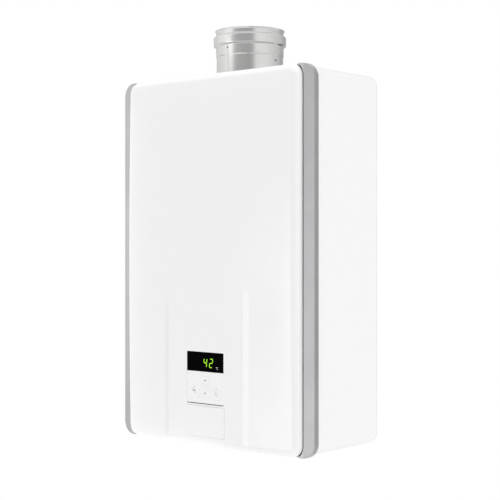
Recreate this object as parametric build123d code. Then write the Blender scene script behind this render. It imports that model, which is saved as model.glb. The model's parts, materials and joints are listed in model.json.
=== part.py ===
"""Wall-hung tankless gas water heater, built as separate sub-parts.

Millimetres. X runs to the right, Z up, and the room is toward -Y. The origin is
the middle of the wall-fixing holes on the wall plane. A depth is counted from the
wall toward the room, so a depth d lies at Y = -d.
"""
import os
from math import asin, cos, degrees, radians, sin, tan

from build123d import *

# Clearances
FIT = 0.3              # pieces that stand apart
RUN = 0.05             # running shafts, on the radius
HOLE = 0.25            # holes round screws, stubs and tubes, on the radius

# Rear casing
CASE_W = 460.0
CASE_H = 673.4
CASE_D = 191.0
CASE_WALL = 1.2
CASE_CORNER_R = 18.0
CASE_BACK_R = 18.0
RIM_W = 16.0
RIM_CORNER_R = 6.0
GASKET_T = 3.0
GASKET_INSET = 2.0

# Wall brackets
WALL_GAP = 14.0
BRACKET_W = 180.0
BRACKET_T = 2.0
BRACKET_RISE = 25.0
BRACKET_LEG = 44.0
BRACKET_BEND_DROP = 4.0
BRACKET_CORNER_R = 8.0
WALL_HOLE_X = 70.0
WALL_HOLE_RISE = 13.0
WALL_HOLE_R = 3.5
KEYHOLE_R = 5.5
KEYHOLE_SLOT_W = 6.0
KEYHOLE_SLOT_L = 9.0

# Pan-head screws
SCREW_R = 2.0
SCREW_HEAD_R = 4.0
SCREW_HEAD_H = 2.4
SCREW_GRIP = 4.0
SCREW_SLOT_L = 5.2
SCREW_SLOT_W = 0.9
SCREW_SLOT_D = 1.1

# Front cover
COVER_LAP = 4.2        # beyond the casing, above and below
COVER_D = 33.4
COVER_WALL = 1.2
COVER_CORNER_R = 22.0
COVER_EDGE_R = 13.5
CROWN_X = 3.0
CROWN_Z = 4.0
TONGUE_HALF_W = 90.0
TONGUE_SINK = 0.6
TONGUE_SLOPE = 20.0
TONGUE_WALL_D = 8.0
TONGUE_TOP = 4.0

# Cover frame and side trims
FRAME_T = 1.5
FRAME_LAND = 5.0
FRAME_INSET = 3.0
TAB_EDGE = 60.5
TAB_W = 26.0
TAB_L = 24.0
TRIM_LIP = 5.0         # beyond the casing's side
TRIM_FACE_W = 21.9
TRIM_CORNER_R = 26.0
TRIM_GAP = 2.6
TRIM_RETURN = 10.2
TRIM_SLOPE = 3.9
TRIM_EDGE_R = 1.6

# Control panel, set in the cover
PANEL_W = 90.0
PANEL_H = 93.4
PANEL_D = 20.0
PANEL_RISE = 78.9
PANEL_WALL = 1.6
PANEL_CORNER_R = 2.0
PANEL_FLANGE = 4.0
PANEL_PLATE_T = 2.0
PANEL_RECESS = 0.4
WINDOW_H = 35.7
BOARD_BACK_GAP = 5.0
KEY_PROUD = 0.2
KEY_GAP = 0.25
KEY_FLANGE = 1.0
KEY_STEM_R = 2.4
KEY_TRAVEL = 0.6
SIDE_KEY_X = 27.0
SIDE_KEY_W = 22.0
SIDE_KEY_H = 17.0
SIDE_KEY_RISE = 17.0
STEP_KEY_W = 22.0
STEP_KEY_H = 16.0
DOWN_KEY_RISE = 18.0
UP_KEY_RISE = 41.0
KEY_CORNER_R = 2.0
SWITCH_W = 6.0
SWITCH_H = 3.5
SWITCH_TIP_R = 1.6
LAMP_R = 0.9
LAMP_RISE = 28.8
DIGIT_W = 8.4
DIGIT_H = 17.0
DIGIT_STROKE = 1.5
DIGIT_PITCH = 14.1
DIGIT_X = -0.6
DIGIT_LEAN = 6.0
DIGIT_T = 0.8

# Blank service plate under the panel
PLATE_W = 94.0
PLATE_H = 56.0
PLATE_GAP = 5.0
PLATE_PROUD = 0.4
PLATE_FLANGE = 4.0
PLATE_CORNER_R = 4.0

# Flue collar and exhaust pipe
FLUE_DEPTH = 116.8
FLUE_LOW_R = 63.2
FLUE_R = 64.2
FLUE_WALL = 0.8
FLUE_STEP_RISE = 45.3
FLUE_BEAD_RISE = 64.3
FLUE_BEAD_H = 20.5
FLUE_BEAD_R = 68.9
FLUE_RISE = 95.1
FLUE_FLANGE_R = 80.0
FLUE_FLANGE_T = 1.5
FLUE_GASKET_T = 2.0
FLUE_SCREW_R = 73.0
FLUE_SCREWS = 6
FLUE_SCREW_TURN = 30.0
FLUE_STEP_L = 2.0
FLUE_FOLD_R = 0.8
FLUE_BEAD_FOOT_R = 1.6
FLUE_BEAD_EDGE_R = 2.0
FLUE_FLARE = 2.0
FLUE_FLARE_H = 3.0
AIR_HOLE_R = 59.0
EXHAUST_R = 40.0
EXHAUST_WALL = 0.8
EXHAUST_SOCKET_L = 36.0
EXHAUST_DROP = 52.0
EXHAUST_FLANGE_R = 44.0

# Combustion stack, on the flue's axis
STACK_W = 240.0
STACK_D = 130.0
STACK_WALL = 1.2
TOP_SPACE = 88.0
HOOD_H = 70.0
HOOD_SKIRT = 26.0
HOOD_TAPER = 24.0
HX_H = 150.0
TUBE_R = 8.0
TUBE_WALL = 1.0
TUBE_ROWS = 4
TUBE_PITCH = 32.0
TUBE_STUB = 6.0
TUBE_FLANGE = 3.0
TUBE_FLANGE_T = 3.0
FIN_H = 54.0
FIN_T = 0.6
FIN_COUNT = 30
FIN_DROP = 12.0
BURNER_H = 110.0
BLADES = 14
BLADE_T = 10.0
BLADE_H = 58.0
BLADE_RISE = 18.0
NOZZLE_R = 4.0
NOZZLE_L = 9.0
NOZZLE_BORE_R = 0.8
NOZZLE_RISE = 30.0
MANIFOLD_H = 28.0
MANIFOLD_D = 20.0
MANIFOLD_END = 3.0
ELECTRODE_R = 3.6
ELECTRODE_TIP_R = 1.2
ELECTRODE_NUT_R = 5.8
ELECTRODE_OUT = 16.0
ELECTRODE_IN = 26.0
ELECTRODE_DROP = 20.0
ELECTRODE_X = (-62.0, -36.0, 44.0)
STAY_INSET = 36.0
STAY_W = 30.0
STAY_T = 2.0
STAY_H = 26.0

# Fan under the burner
FAN_R = 68.0
FAN_D = 58.0
FAN_WALL = 1.6
FAN_DUCT = 20.0
FAN_DUCT_W = 60.0
FAN_INLET_R = 38.0
IMPELLER_R = 56.0
IMPELLER_BLADE_L = 13.0
IMPELLER_BLADE_T = 1.2
IMPELLER_BLADES = 26
IMPELLER_PITCH = 35.0
IMPELLER_GAP = 4.0
IMPELLER_DISC_T = 2.0
IMPELLER_HUB_R = 9.0
SHAFT_R = 3.0
MOTOR_R = 31.0
MOTOR_L = 42.0
MOTOR_FLANGE = 72.0
MOTOR_FLANGE_T = 2.0
MOTOR_HOLE_INSET = 7.2

# Base plate and the connections through it
BASE_SIDE = 22.0
BASE_D = 128.0
BASE_T = 1.5
BASE_LAP = 12.0
SERVICE_DEPTH = 108.0
COLD_EDGE = 65.0
WATER_PITCH = 70.0
GAS_FAN_GAP = 9.0
CABLE_EDGE = 58.0
CABLE_BACK = 34.0
RISER_OUT = 39.0
HOT_FAN_GAP = 10.0
HOT_NUT_R = 14.0
STUB_R = 13.2
STUB_L = 7.5
STUB_BORE_R = 9.0
STUB_CHAMFER = 1.0
SHOULDER_R = 15.5
SHOULDER_DROP = 1.5
COLLAR_R = 21.0
COLLAR_H = 12.0
DRAIN_DEPTH = 42.0
DRAIN_R = 10.0
DRAIN_H = 15.0
DRAIN_STEM_R = 6.0
DRAIN_STEM_L = 10.0
DRAIN_FLUTES = 18
DRAIN_FLUTE_R = 0.8
GROMMET_R = 11.0
GROMMET_BORE_R = 4.5
GROMMET_H = 5.0
GROMMET_NECK = 2.0

# Gas valve
VALVE_W = 66.0
VALVE_D = 64.0
VALVE_H = 92.0
VALVE_EDGE_R = 5.0
COIL_R = 17.0
COIL_L = 40.0
COIL_SPACING = 42.0
PLUNGER_R = 6.0
PLUNGER_IN = 16.0
PLUNGER_OUT = 24.0
PLUNGER_TRAVEL = 4.0
PLUNGER_CHAMFER = 1.0
GAS_PIPE_R = 9.0
GAS_PIPE_WALL = 1.0
GAS_SOCKET = 7.0
GAS_BOSS_R = 13.0
GAS_BOSS_H = 12.0
BEND_R = 18.0

# Flow valve on the cold inlet
FLOW_R = 20.0
FLOW_BORE_R = 13.5
FLOW_H = 112.0
FLOW_CAP = 12.0
FLOW_SOCKET = 9.0
FLOW_BAR = 6.0
TURBINE_R = 12.0
TURBINE_H = 16.0
TURBINE_HUB_R = 4.0
TURBINE_SHAFT_R = 1.5
TURBINE_VANES = 6
TURBINE_VANE_T = 1.0
TURBINE_RISE = 18.0
SPINDLE_RISE = 74.0
SPINDLE_R = 3.0
SPINDLE_DISC_R = 12.4
SPINDLE_DISC_T = 2.0
SERVO_W = 36.0
SERVO_D = 38.0
SERVO_BOSS = 6.0
SERVO_BORE = 12.0

# Control board and its case
BOX_STACK_GAP = 14.8
BOX_D = 46.0
BOX_H = 190.0
BOX_TOP_DROP = 242.0
BOX_WALL = 2.0
BOX_FRONT_GAP = 9.0
BOX_LUG_W = 14.0
BOX_POST_R = 3.0
BOX_POST_L = 6.0
BOARD_T = 1.6
BOARD_MARGIN = 2.0
SOCKET_W = 10.0
SOCKET_H = 9.0
SOCKET_D = 11.0
SOCKET_PITCH = 14.0
RELAY_W = 17.0
RELAY_H = 22.0
RELAY_D = 16.0
RELAY_PITCH = 22.0
CAP_R = 5.5
CAP_L = 24.0
CAP_PITCH = 16.0
COIL_BLOCK_W = 34.0
COIL_BLOCK_H = 34.0
COIL_BLOCK_D = 28.0
CHIP_W = 16.0
CHIP_T = 4.0
SINK_H = 38.0
SINK_T = 4.0
SINK_D = 20.0
SINK_FIN_T = 2.0
SINK_FINS = 8

# Igniter and wiring
IGNITER_W = 40.0
IGNITER_D = 34.0
IGNITER_H = 58.0
IGNITER_GAP = 3.0
IGNITER_Z = 24.0
LEAD_R = 2.2
POWER_R = 3.4
LEAD_BEND = 9.0
LEAD_CLEAR = 6.0
LEAD_PLACES = 13
TERMINAL_W = 28.0
TERMINAL_H = 14.0
TERMINAL_DEPTH = 40.0
PLUG_W = 12.0
PLUG_H = 8.0
PLUG_D = 7.0

# Planes and axes that follow from the sizes above
case_top = CASE_H / 2
case_floor = -CASE_H / 2 + CASE_WALL
case_back = WALL_GAP + CASE_WALL
case_side = CASE_W / 2 - CASE_WALL
case_front = WALL_GAP + CASE_D
trim_w = CASE_W + 2 * TRIM_LIP
cover_w = trim_w - 2 * (TRIM_FACE_W + TRIM_GAP)
cover_h = CASE_H + 2 * COVER_LAP
tab_x = cover_w / 2 - TAB_EDGE
base_w = CASE_W - 2 * BASE_SIDE
cold_x = CASE_W / 2 - COLD_EDGE
hot_x = cold_x - WATER_PITCH
gas_x = -FAN_R - GAS_FAN_GAP - VALVE_W / 2
cable_x = CABLE_EDGE - CASE_W / 2
cable_depth = SERVICE_DEPTH - CABLE_BACK
frame_back = case_front + GASKET_T + FIT
frame_front = frame_back + FRAME_T
cover_crest = frame_front + COVER_D
tongue_front = cover_crest - TONGUE_SINK
bracket_bend = case_top - CASE_BACK_R - BRACKET_BEND_DROP
bracket_screw_z = bracket_bend - BRACKET_LEG / 2
tab_face = case_top + FIT
tab_screw_depth = frame_back - TAB_L / 2
panel_front = tongue_front - PANEL_RECESS
panel_back = panel_front - PANEL_D
panel_bottom = -cover_h / 2 + PANEL_RISE
panel_mid = panel_bottom + PANEL_H / 2
panel_inside = panel_back + PANEL_WALL
panel_board_front = panel_inside + BOARD_BACK_GAP + BOARD_T
plates_back = panel_front - PANEL_PLATE_T
fascia_h = PANEL_H - WINDOW_H
plate_mid = panel_bottom - PLATE_GAP - PLATE_H / 2
flue_foot = case_top + FLUE_GASKET_T
flue_rim = case_top + FLUE_RISE
stack_back = FLUE_DEPTH - STACK_D / 2
stack_front = FLUE_DEPTH + STACK_D / 2
hood_top = case_top - TOP_SPACE
hx_top = hood_top - HOOD_H
hx_bottom = hx_top - HX_H
tube_z = hx_top - FIN_DROP - FIN_H / 2
tube_end = STACK_W / 2 + TUBE_STUB
riser_x = tube_end + RISER_OUT
stay_x = STACK_W / 2 - STAY_INSET
burner_bottom = hx_bottom - BURNER_H
nozzle_z = burner_bottom + NOZZLE_RISE
manifold_mid = stack_front + MANIFOLD_D / 2
electrode_z = hx_bottom - ELECTRODE_DROP
fan_z = burner_bottom - FAN_DUCT - FAN_R
fan_back = FLUE_DEPTH - FAN_D / 2
fan_front = FLUE_DEPTH + FAN_D / 2
motor_front = fan_front + MOTOR_FLANGE_T + MOTOR_L
base_top = case_floor + BASE_T
collar_top = base_top + COLLAR_H
valve_front = SERVICE_DEPTH + VALVE_D / 2
valve_top = collar_top + VALVE_H
flow_top = collar_top + FLOW_H
spindle_z = collar_top + SPINDLE_RISE
servo_back = SERVICE_DEPTH + FLOW_R + SERVO_BOSS
box_front = case_front - BOX_FRONT_GAP
box_back = box_front - BOX_D
box_right = case_side - BOX_LUG_W
box_left = STACK_W / 2 + BOX_STACK_GAP
box_w = box_right - box_left
box_mid = (box_left + box_right) / 2
box_top = case_top - BOX_TOP_DROP
box_bottom = box_top - BOX_H
board_back = box_back + BOX_WALL + BOX_POST_L
board_front = board_back + BOARD_T
igniter_x = CASE_BACK_R - CASE_W / 2 + IGNITER_GAP + IGNITER_W / 2
coil_z = [valve_top - VALVE_H / 2 + side * COIL_SPACING / 2 for side in (-1, 1)]
tube_depths = [FLUE_DEPTH + (row - (TUBE_ROWS - 1) / 2) * TUBE_PITCH for row in range(TUBE_ROWS)]
blade_pitch = (STACK_W - 2 * STACK_WALL) / BLADES
blade_xs = [(place - (BLADES - 1) / 2) * blade_pitch for place in range(BLADES)]


def front_plane(depth):
    """The plane that faces the room at a depth from the wall."""
    return Plane.XZ.offset(depth)


def slab(x0, x1, near, far, z0, z1):
    """A box between two X places, two depths and two heights."""
    middle = Pos((x0 + x1) / 2, -(near + far) / 2, (z0 + z1) / 2)
    return middle * Box(x1 - x0, far - near, z1 - z0)


def upright(radius, x, depth, z0, z1):
    """A cylinder that stands from z0 to z1."""
    return Pos(x, -depth, (z0 + z1) / 2) * Cylinder(radius, z1 - z0)


def outward(radius, x, near, far, z):
    """A cylinder that points from the wall toward the room."""
    return Pos(x, -(near + far) / 2, z) * Rot(90, 0, 0) * Cylinder(radius, far - near)


def across(radius, x0, x1, depth, z):
    """A cylinder that lies from x0 to x1."""
    return Pos((x0 + x1) / 2, -depth, z) * Rot(0, 90, 0) * Cylinder(radius, x1 - x0)


def plate(width, height, corner, near, far, x=0.0, z=0.0):
    """A rounded plate that faces the room."""
    return extrude(front_plane(near) * Pos(x, z) * RectangleRounded(width, height, corner), far - near)


def group(solids):
    """Several solids kept apart in one node."""
    return Compound(children=list(solids))


def swept(points, radii, outer, inner=0.0):
    """A pipe, or a lead when there is no inner radius, along a bent path of (x, depth, z) points."""
    path = FilletPolyline(*[(x, -depth, z) for x, depth, z in points], radius=radii)
    start = Plane(path @ 0, z_dir=path % 0)
    body = sweep(start * Circle(outer), path=path)
    if inner:
        body -= sweep(start * Circle(inner), path=path)
    return body


def screw(x, depth, z, heading, grip):
    """A pan-head cross screw: the head's seat is at the point, the shank runs along the heading."""
    seat = Plane((x, -depth, z), z_dir=heading).location
    body = seat * Pos(0, 0, grip / 2) * Cylinder(SCREW_R, grip)
    body += seat * Pos(0, 0, -SCREW_HEAD_H / 2) * Cylinder(SCREW_HEAD_R, SCREW_HEAD_H)
    for turn in (0, 90):
        slot = Box(SCREW_SLOT_L, SCREW_SLOT_W, SCREW_SLOT_D)
        body -= seat * Pos(0, 0, SCREW_SLOT_D / 2 - SCREW_HEAD_H) * Rot(0, 0, turn) * slot
    return body


def revolved(outer, inner, fillets):
    """A thin turned wall about the flue's axis from two lines of (radius, z) points."""
    lines = [FilletPolyline(*[(r, 0, z) for r, z in line], radius=fillets) for line in (outer, inner)]
    ends = [Line(lines[0] @ 0, lines[1] @ 0), Line(lines[0] @ 1, lines[1] @ 1)]
    profile = make_face(lines[0].edges() + lines[1].edges() + [end.edge() for end in ends])
    return Pos(0, -FLUE_DEPTH, 0) * revolve(profile, Axis.Z)


def case_outline(inset):
    """The casing's outline seen from the room, drawn in by an inset."""
    return RectangleRounded(CASE_W - 2 * inset, CASE_H - 2 * inset, CASE_CORNER_R - inset)


def rim_opening(margin):
    """The opening inside the casing's front rim, made smaller by a margin."""
    reach = 2 * (RIM_W + margin)
    return RectangleRounded(CASE_W - reach, CASE_H - reach, RIM_CORNER_R)


def case_form(inset):
    """The casing's rounded tub, drawn in by an inset."""
    form = extrude(front_plane(WALL_GAP + inset) * case_outline(inset), CASE_D - inset)
    return fillet(form.edges().group_by(Axis.Y)[-1], CASE_BACK_R - inset)


def flue_screw_places():
    """X and depth of the screws round the flue flange."""
    angles = [radians(FLUE_SCREW_TURN + 360 / FLUE_SCREWS * turn) for turn in range(FLUE_SCREWS)]
    return [(FLUE_SCREW_R * cos(a), FLUE_DEPTH + FLUE_SCREW_R * sin(a)) for a in angles]


def base_screw_places():
    """X and depth of the screws along the base plate's edges."""
    reach = base_w / 2 - BASE_LAP / 2
    depth = BASE_D / 2 - BASE_LAP / 2
    return [(x, SERVICE_DEPTH + side * depth) for x in (-reach, 0, reach) for side in (-1, 1)]


def bracket_screw_places():
    """X of the screws that hold one wall bracket."""
    return [-WALL_HOLE_X, 0.0, WALL_HOLE_X]


def rear_casing():
    """The tub with its front rim and all its openings."""
    case = case_form(0) - case_form(CASE_WALL)
    case += extrude(front_plane(case_front - CASE_WALL) * (case_outline(0) - rim_opening(0)), CASE_WALL)
    case -= upright(AIR_HOLE_R, 0, FLUE_DEPTH, case_top - 2 * CASE_WALL, case_top + CASE_WALL)
    open_x = base_w / 2 - BASE_LAP
    open_d = BASE_D / 2 - BASE_LAP
    case -= slab(-open_x, open_x, SERVICE_DEPTH - open_d, SERVICE_DEPTH + open_d,
                 -case_top - CASE_WALL, case_floor + CASE_WALL)
    radius = SCREW_R + HOLE
    for x, depth in flue_screw_places():
        case -= upright(radius, x, depth, case_top - 2 * CASE_WALL, case_top + CASE_WALL)
    for x, depth in base_screw_places():
        case -= upright(radius, x, depth, -case_top - CASE_WALL, case_floor + CASE_WALL)
    for x in bracket_screw_places():
        for side in (-1, 1):
            case -= outward(radius, x, WALL_GAP - 1, case_back + 1, side * bracket_screw_z)
    for x in (-tab_x, tab_x):
        case -= upright(radius, x, tab_screw_depth, case_top - 2 * CASE_WALL, case_top + CASE_WALL)
        case -= upright(radius, x, tab_screw_depth, -case_top - CASE_WALL, case_floor + CASE_WALL)
    return case


def front_gasket():
    """The foam ring between the casing's rim and the cover frame."""
    ring = case_outline(GASKET_INSET) - rim_opening(-GASKET_INSET)
    return extrude(front_plane(case_front) * ring, GASKET_T)


def wall_brackets():
    """The upper bent wall bracket and the same one turned over below."""
    half = BRACKET_W / 2
    top = case_top + BRACKET_RISE
    wall_leg = slab(-half, half, 0, BRACKET_T, bracket_bend, top)
    wall_leg = fillet(wall_leg.edges().filter_by(Axis.Y).group_by(Axis.Z)[-1], BRACKET_CORNER_R)
    bracket = wall_leg + slab(-half, half, 0, WALL_GAP, bracket_bend - BRACKET_T, bracket_bend)
    bracket += slab(-half, half, WALL_GAP - BRACKET_T, WALL_GAP, bracket_bend - BRACKET_LEG, bracket_bend)
    hole_z = case_top + WALL_HOLE_RISE
    for x in (-WALL_HOLE_X, WALL_HOLE_X):
        bracket -= outward(WALL_HOLE_R, x, -1, BRACKET_T + 1, hole_z)
    bracket -= outward(KEYHOLE_R, 0, -1, BRACKET_T + 1, hole_z)
    slot = KEYHOLE_SLOT_W / 2
    bracket -= slab(-slot, slot, -1, BRACKET_T + 1, hole_z, hole_z + KEYHOLE_SLOT_L)
    for x in bracket_screw_places():
        bracket -= outward(SCREW_R + HOLE, x, WALL_GAP - BRACKET_T - 1, WALL_GAP + 1, bracket_screw_z)
    return group([bracket, mirror(bracket, about=Plane.XY)])


def casing_screws():
    """The screws of the wall brackets, the flue flange and the base plate."""
    seat = WALL_GAP - BRACKET_T
    grip = BRACKET_T + CASE_WALL + SCREW_GRIP
    screws = [screw(x, seat, side * bracket_screw_z, (0, -1, 0), grip)
              for x in bracket_screw_places() for side in (-1, 1)]
    seat = flue_foot + FLUE_FLANGE_T
    grip = FLUE_FLANGE_T + FLUE_GASKET_T + CASE_WALL + SCREW_GRIP
    screws += [screw(x, depth, seat, (0, 0, -1), grip) for x, depth in flue_screw_places()]
    grip = CASE_WALL + BASE_T + SCREW_GRIP
    screws += [screw(x, depth, -case_top, (0, 0, 1), grip) for x, depth in base_screw_places()]
    return group(screws)


def cover_screws():
    """The four screws that hold the cover frame's tabs to the casing."""
    seat = tab_face + FRAME_T + FIT
    grip = seat - case_top + CASE_WALL + SCREW_GRIP
    return group(screw(x, tab_screw_depth, side * seat, (0, 0, -side), grip)
                 for x in (-tab_x, tab_x) for side in (-1, 1))


def cover_outline(inset):
    """The cover's outline seen from the room."""
    return RectangleRounded(cover_w - 2 * inset, cover_h - 2 * inset, COVER_CORNER_R - inset)


def cover_dome(inset):
    """A wide block whose front is crowned both ways."""
    reach_x = cover_w * 0.6
    reach_z = cover_h * 0.6
    radius_x = ((cover_w / 2) ** 2 + CROWN_X ** 2) / (2 * CROWN_X)
    radius_z = ((cover_h / 2) ** 2 + CROWN_Z ** 2) / (2 * CROWN_Z)
    top = cover_crest - inset
    edge = top - radius_x + (radius_x ** 2 - reach_x ** 2) ** 0.5
    back = frame_front - COVER_D
    arc = ThreePointArc((-reach_x, -edge), (0, -top), (reach_x, -edge))
    sides = Polyline((reach_x, -edge), (reach_x, -back), (-reach_x, -back), (-reach_x, -edge))
    swing = degrees(asin(reach_z / radius_z))
    axis = Axis((0, radius_z - top, 0), (1, 0, 0))
    return revolve(make_face(arc + sides), axis, revolution_arc=2 * swing).rotate(axis, -swing)


def cover_tongue(inset):
    """The flat centre field that rises out of the crown below the middle."""
    face = tongue_front - inset
    flat = extrude(front_plane(frame_front) * cover_outline(inset), face - frame_front)
    flat = fillet(flat.edges().group_by(Axis.Y)[0], COVER_EDGE_R - inset)
    half = TONGUE_HALF_W - inset * tan(radians(TONGUE_SLOPE / 2))
    foot = half + TONGUE_WALL_D / tan(radians(TONGUE_SLOPE))
    section = Polygon((-half, -face), (half, -face), (foot, TONGUE_WALL_D - face), (foot, -frame_front),
                      (-foot, -frame_front), (-foot, TONGUE_WALL_D - face), align=None)
    return flat & extrude(Plane.XY.offset(-cover_h) * section, cover_h - TONGUE_TOP)


def cover_form(inset):
    """The cover's outside for no inset, its inside for an inset of the sheet's thickness."""
    form = extrude(front_plane(frame_front) * cover_outline(inset), 2 * COVER_D) & cover_dome(inset)
    front = [edge for edge in form.edges() if edge.center().Y < COVER_EDGE_R - cover_crest]
    return fillet(front, COVER_EDGE_R - inset) + cover_tongue(inset)


def front_cover():
    """The domed sheet cover with the openings for the panel and the service plate."""
    cover = cover_form(0) - cover_form(COVER_WALL)
    reach = 2 * FIT
    deep = tongue_front - 2 * COVER_WALL
    cover -= plate(PANEL_W + reach, PANEL_H + reach, PANEL_CORNER_R, deep, cover_crest, z=panel_mid)
    cover -= plate(PLATE_W + reach, PLATE_H + reach, PLATE_CORNER_R, deep, cover_crest, z=plate_mid)
    return cover


def cover_frame():
    """The ring behind the cover, with slotted tabs that reach over the casing's top and floor."""
    outline = RectangleRounded(trim_w - 2 * FRAME_INSET, cover_h - 2 * FRAME_INSET, COVER_CORNER_R)
    land = 2 * (COVER_WALL + FRAME_LAND)
    opening = RectangleRounded(cover_w - land, CASE_H - 2 * RIM_W - FRAME_LAND, RIM_CORNER_R)
    frame = extrude(front_plane(frame_back) * (outline - opening), FRAME_T)
    slot = SCREW_R + HOLE
    for x in (-tab_x, tab_x):
        for side in (-1, 1):
            z0, z1 = sorted((side * tab_face, side * (tab_face + FRAME_T)))
            tab = slab(x - TAB_W / 2, x + TAB_W / 2, frame_back - TAB_L, frame_back, z0, z1)
            tab -= slab(x - slot, x + slot, frame_back - TAB_L - 1, tab_screw_depth, z0 - 1, z1 + 1)
            frame += tab - upright(slot, x, tab_screw_depth, z0 - 1, z1 + 1)
    return frame


def side_trim(side):
    """One grey side trim: the right one for side 1, the left one for side -1."""
    outline = RectangleRounded(trim_w, cover_h, TRIM_CORNER_R)
    reach = 2 * TRIM_GAP
    hole = RectangleRounded(cover_w + reach, cover_h + reach, COVER_CORNER_R + TRIM_GAP)
    ring = extrude(front_plane(frame_front) * (outline - hole), TRIM_RETURN + TRIM_SLOPE)
    trim = ring.solids().sort_by(Axis.X)[-1]
    inner = cover_w / 2 - COVER_CORNER_R
    outer = trim_w / 2
    low = frame_front + TRIM_RETURN
    high = low + TRIM_SLOPE * (outer - inner) / (outer - cover_w / 2 - TRIM_GAP)
    wedge = Polygon((inner, -high), (outer, -low), (outer + 1, -low), (outer + 1, -frame_front),
                    (inner, -frame_front), align=None)
    trim = trim & extrude(Plane.XY.offset(-cover_h) * wedge, 2 * cover_h)
    edge = [e for e in trim.edges() if abs(e.center().X - outer) < 0.01 and e.center().Y < 0.5 - low]
    trim = fillet(edge, TRIM_EDGE_R)
    return trim if side > 0 else mirror(trim, about=Plane.YZ)


def panel_housing():
    """The panel's open tray with a flange behind the cover's sheet and a plug hole in its back."""
    flange_front = tongue_front - COVER_WALL
    tray = plate(PANEL_W, PANEL_H, PANEL_CORNER_R, panel_back, plates_back, z=panel_mid)
    reach = 2 * PANEL_FLANGE
    tray += plate(PANEL_W + reach, PANEL_H + reach, PANEL_CORNER_R,
                  flange_front - PANEL_WALL, flange_front, z=panel_mid)
    room = 2 * HOLE
    tray -= plate(PANEL_W + room, PANEL_H + room, PANEL_CORNER_R, plates_back, panel_front, z=panel_mid)
    inset = 2 * PANEL_WALL
    tray -= plate(PANEL_W - inset, PANEL_H - inset, PANEL_CORNER_R, panel_inside, panel_front, z=panel_mid)
    tray -= slab(-PLUG_W / 2 - FIT, PLUG_W / 2 + FIT, panel_back - 1, panel_inside + 1,
                 panel_mid - PLUG_H / 2 - FIT, panel_mid + PLUG_H / 2 + FIT)
    x = PANEL_W / 2 - 2 * PANEL_WALL - BOX_POST_R
    z = PANEL_H / 2 - 2 * PANEL_WALL - BOX_POST_R
    for post_x in (-x, x):
        for post_z in (panel_mid - z, panel_mid + z):
            tray += outward(BOX_POST_R, post_x, panel_inside, panel_inside + BOARD_BACK_GAP, post_z)
    return tray


def segment(x0, z0, x1, z1):
    """One lit bar of a digit with pointed ends, between two points of the upright digit."""
    half = DIGIT_STROKE / 2
    if x0 == x1:
        shape = [(x0, z0), (x0 + half, z0 + half), (x0 + half, z1 - half), (x0, z1), (x0 - half, z1 - half),
                 (x0 - half, z0 + half)]
    else:
        shape = [(x0, z0), (x0 + half, z0 - half), (x1 - half, z0 - half), (x1, z0), (x1 - half, z0 + half),
                 (x0 + half, z0 + half)]
    return shape


def digit_shapes():
    """Outlines of the lit bars of the two digits, leaned to the right."""
    half = DIGIT_STROKE / 2
    left, right = half, DIGIT_W - half
    low, mid, high = half, DIGIT_H / 2, DIGIT_H - half
    gap = FIT
    bars = {"top": (left + gap, high, right - gap, high),
            "middle": (left + gap, mid, right - gap, mid),
            "bottom": (left + gap, low, right - gap, low),
            "high_left": (left, mid + gap, left, high - gap),
            "high_right": (right, mid + gap, right, high - gap),
            "low_left": (left, low + gap, left, mid - gap),
            "low_right": (right, low + gap, right, mid - gap)}
    four = ("high_left", "middle", "high_right", "low_right")
    two = ("top", "high_right", "middle", "low_left", "bottom")
    lean = tan(radians(DIGIT_LEAN))
    base = panel_bottom + fascia_h + (WINDOW_H - DIGIT_H) / 2 - DIGIT_STROKE
    shapes = []
    for place, lit in enumerate((four, two)):
        start = DIGIT_X - DIGIT_W / 2 + place * DIGIT_PITCH
        for name in lit:
            shapes.append([(start + x + lean * z, base + z) for x, z in segment(*bars[name])])
    return shapes


def digit_bars(swell):
    """The lit bars as solids set in the window's face."""
    face = front_plane(panel_front - DIGIT_T)
    bars = [extrude(face * Polygon(*shape, align=None), DIGIT_T + swell) for shape in digit_shapes()]
    return bars


def display_window():
    """The black window over the panel's upper part, cut out for the lit bars."""
    height = WINDOW_H - FIT
    middle = panel_bottom + PANEL_H - height / 2
    window = plate(PANEL_W, height, PANEL_CORNER_R, plates_back, panel_front, z=middle)
    for bar in digit_bars(1.0):
        window -= bar
    return window


def keys():
    """Middle and size of each key, by name."""
    return {"up_button": (0.0, panel_bottom + UP_KEY_RISE, STEP_KEY_W, STEP_KEY_H),
            "down_button": (0.0, panel_bottom + DOWN_KEY_RISE, STEP_KEY_W, STEP_KEY_H),
            "priority_button": (-SIDE_KEY_X, panel_bottom + SIDE_KEY_RISE, SIDE_KEY_W, SIDE_KEY_H),
            "power_button": (SIDE_KEY_X, panel_bottom + SIDE_KEY_RISE, SIDE_KEY_W, SIDE_KEY_H)}


def key_fascia():
    """The white plate that holds the four keys and the two status lamps."""
    fascia = plate(PANEL_W, fascia_h, PANEL_CORNER_R, plates_back, panel_front, z=panel_bottom + fascia_h / 2)
    for x, z, width, height in keys().values():
        fascia -= plate(width + 2 * KEY_GAP, height + 2 * KEY_GAP, KEY_CORNER_R, plates_back - 1,
                        panel_front + 1, x, z)
    for x in (-SIDE_KEY_X, SIDE_KEY_X):
        fascia -= outward(LAMP_R + RUN, x, plates_back - 1, panel_front + 1, panel_bottom + LAMP_RISE)
    return fascia


def key_button(name):
    """One key: its cap, the flange that keeps it behind the plate, and its stem."""
    x, z, width, height = keys()[name]
    flange_front = plates_back - 2 * RUN
    stem_end = panel_board_front + SWITCH_H + KEY_TRAVEL + 2 * RUN
    cap = plate(width, height, KEY_CORNER_R, flange_front, panel_front + KEY_PROUD, x, z)
    reach = 2 * KEY_FLANGE
    cap += plate(width + reach, height + reach, KEY_CORNER_R, flange_front - KEY_FLANGE, flange_front, x, z)
    return cap + outward(KEY_STEM_R, x, stem_end, flange_front, z)


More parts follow.
